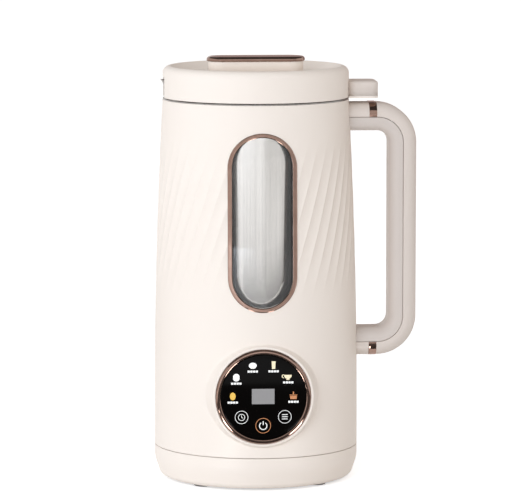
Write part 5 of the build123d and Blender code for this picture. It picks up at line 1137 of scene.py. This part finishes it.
# %% Sky
SKY_LEVEL, SKY_OVERHEAD, SKY_WARM = 1.0, 0.4, (1.0, 0.965, 0.945, 1)
world = bpy.data.worlds.new("studio_sky")
bpy.context.scene.world = world
world.use_nodes = True
tree = world.node_tree
sky = tree.nodes["Background"]
seen = lifted(tree, (-200, 0))
tint = add_node(tree, "ShaderNodeMix", (-100, 200), data_type="RGBA")
tint.inputs["A"].default_value = SKY_WARM
tint.inputs["B"].default_value = (1, 1, 1, 1)
tree.links.new(seen, tint.inputs["Factor"])
tree.links.new(tint.outputs["Result"], sky.inputs["Color"])
place = add_node(tree, "ShaderNodeTexCoord", (-900, -300))
parts = add_node(tree, "ShaderNodeSeparateXYZ", (-700, -300))
tree.links.new(place.outputs["Generated"], parts.inputs[0])
level = add_node(tree, "ShaderNodeMapRange", (-400, -300))
level.inputs["To Min"].default_value = SKY_LEVEL
level.inputs["To Max"].default_value = SKY_OVERHEAD
tree.links.new(parts.outputs["Z"], level.inputs["Value"])
strength = add_node(tree, "ShaderNodeMath", (-100, -200), operation="MAXIMUM")
tree.links.new(seen, strength.inputs[0])
tree.links.new(level.outputs["Result"], strength.inputs[1])
tree.links.new(strength.outputs[0], sky.inputs["Strength"])
print("sky falls from", SKY_LEVEL, "at the horizon to", SKY_OVERHEAD, "overhead")

# %% [markdown]
# Two large soft lamps model the form: the key stands a little left of the camera, and a weaker one lights
# the left side. They are slightly cool against the warm sky. Gloss and glass don't see them, because
# their squares would show as hard white patches on the plating and in the window.

# %% Lamps
LAMP_COLOUR, LAMP_SIZE = (0.8, 0.89, 1.0), (1.2, 1.6)


def aim(thing, place, target):
    """Puts a thing at a place and turns its -Z towards a target."""
    thing.location = place
    thing.rotation_euler = (Vector(target) - Vector(place)).to_track_quat("-Z", "Y").to_euler()


def soft_lamp(name, place, power):
    """Area lamp turned towards the middle of the pot."""
    lamp = bpy.data.lights.new(name, "AREA")
    lamp.shape, lamp.size, lamp.size_y = "RECTANGLE", *LAMP_SIZE
    lamp.energy, lamp.color = power, LAMP_COLOUR
    thing = bpy.data.objects.new(name, lamp)
    thing.visible_glossy = False
    thing.visible_transmission = False
    bpy.context.scene.collection.objects.link(thing)
    aim(thing, place, (0, 0, 0.12))


soft_lamp("lamp_key", (-0.95, -2.2, 0.75), 27.5)
soft_lamp("lamp_side", (-2.4, -0.2, 0.6), 12.0)
print("lamps:", [(lamp.name, lamp.energy) for lamp in bpy.data.lights])

# %% [markdown]
# Plating shows nothing but what stands round it, so a white room makes it vanish. As in a product
# studio, dark and grey cards stand where only reflections see them: overhead for the grip's plate, at
# the right for the trim, behind for the plate's far edge, and on the floor for the bezel. Three small
# bright ones give the bezel its glints.

# %% Reflection cards
def card_paint(name, level, glow_colour=(1, 1, 1, 1)):
    """Paint of a card: near black, with a glow of its own at a level."""
    coat = moulded(name, screen(16, 15, 15), screen(26, 24, 24), smooth=0.5, rough=0.7)
    shader = coat.node_tree.nodes["Principled BSDF"]
    shader.inputs["Emission Color"].default_value = glow_colour
    shader.inputs["Emission Strength"].default_value = level
    return coat


black, grey = card_paint("card_black", 0.06), card_paint("card_grey", 0.78)
warm, bright = card_paint("card_warm", 0.38, (1.0, 0.7, 0.64, 1)), card_paint("card_bright", 14.0)


def card(name, coat, place, target, width, height):
    """Card of a size in metres that only reflections can see."""
    sheet = flat_sheet(name, width / 2 / METRES, height / 2 / METRES)
    sheet.data.materials.append(coat)
    aim(sheet, place, target)
    sheet.visible_camera = False
    sheet.visible_diffuse = False
    sheet.visible_shadow = False


card("card_ceiling", black, (0.0, 0.0, 1.9), (0, 0, 0.0), 5.0, 5.0)
card("card_right", grey, (1.43, -1.47, 0.5), (0, 0, 0.15), 0.95, 1.6)
card("card_back", warm, (0.81, 1.2, 0.45), (0.81, 0.0, 0.45), 1.58, 0.9)
floor_cards = [
    ("card_floor", grey, 0.85, -1.7, 0.002, 1.3, 1.5),
    ("card_low", black, 0.12, -0.34, 0.002, 0.64, 0.54),
    ("glint_low_left", bright, -0.054, -0.14, 0.003, 0.032, 0.1),
    ("glint_low_right", bright, 0.052, -0.14, 0.003, 0.032, 0.1),
    ("glint_high_left", bright, -0.105, -0.15, 0.003, 0.02, 0.03),
]
for name, coat, x, y, up, width, depth in floor_cards:
    card(name, coat, (x, y, up), (x, y, 0.0), width, depth)
print("cards set:", 3 + len(floor_cards))

# %% [markdown]
# The camera stands where the photographer's stood: about two and a quarter metres away, a little above
# the lid, with a long lens. Its angle and distance could be guessed by eye, but the ellipses of the rim
# and the base give them away: how flat they look sets the height, and how they differ sets the distance.

# %% Camera
TURN, DISTANCE, HEIGHT, ASIDE, TILT = math.radians(-4.2), 2.263, 0.409, 0.0032, math.radians(6.81)
FOCAL, SENSOR = 260.1, 36.0
camera_data = bpy.data.cameras.new("portrait_camera")
camera_data.lens, camera_data.sensor_width, camera_data.sensor_fit = FOCAL, SENSOR, "HORIZONTAL"
camera_data.clip_start, camera_data.clip_end = 0.1, 100.0
camera = bpy.data.objects.new("portrait_camera", camera_data)
bpy.context.scene.collection.objects.link(camera)
camera.location = (
    DISTANCE * math.sin(TURN) + ASIDE * math.cos(TURN),
    -DISTANCE * math.cos(TURN) + ASIDE * math.sin(TURN),
    HEIGHT,
)
camera.rotation_euler = (math.radians(90.0) - TILT, 0.0, TURN)
bpy.context.scene.camera = camera
bpy.context.scene.view_settings.view_transform = "Standard"
print("camera at", [round(v, 3) for v in camera.location])
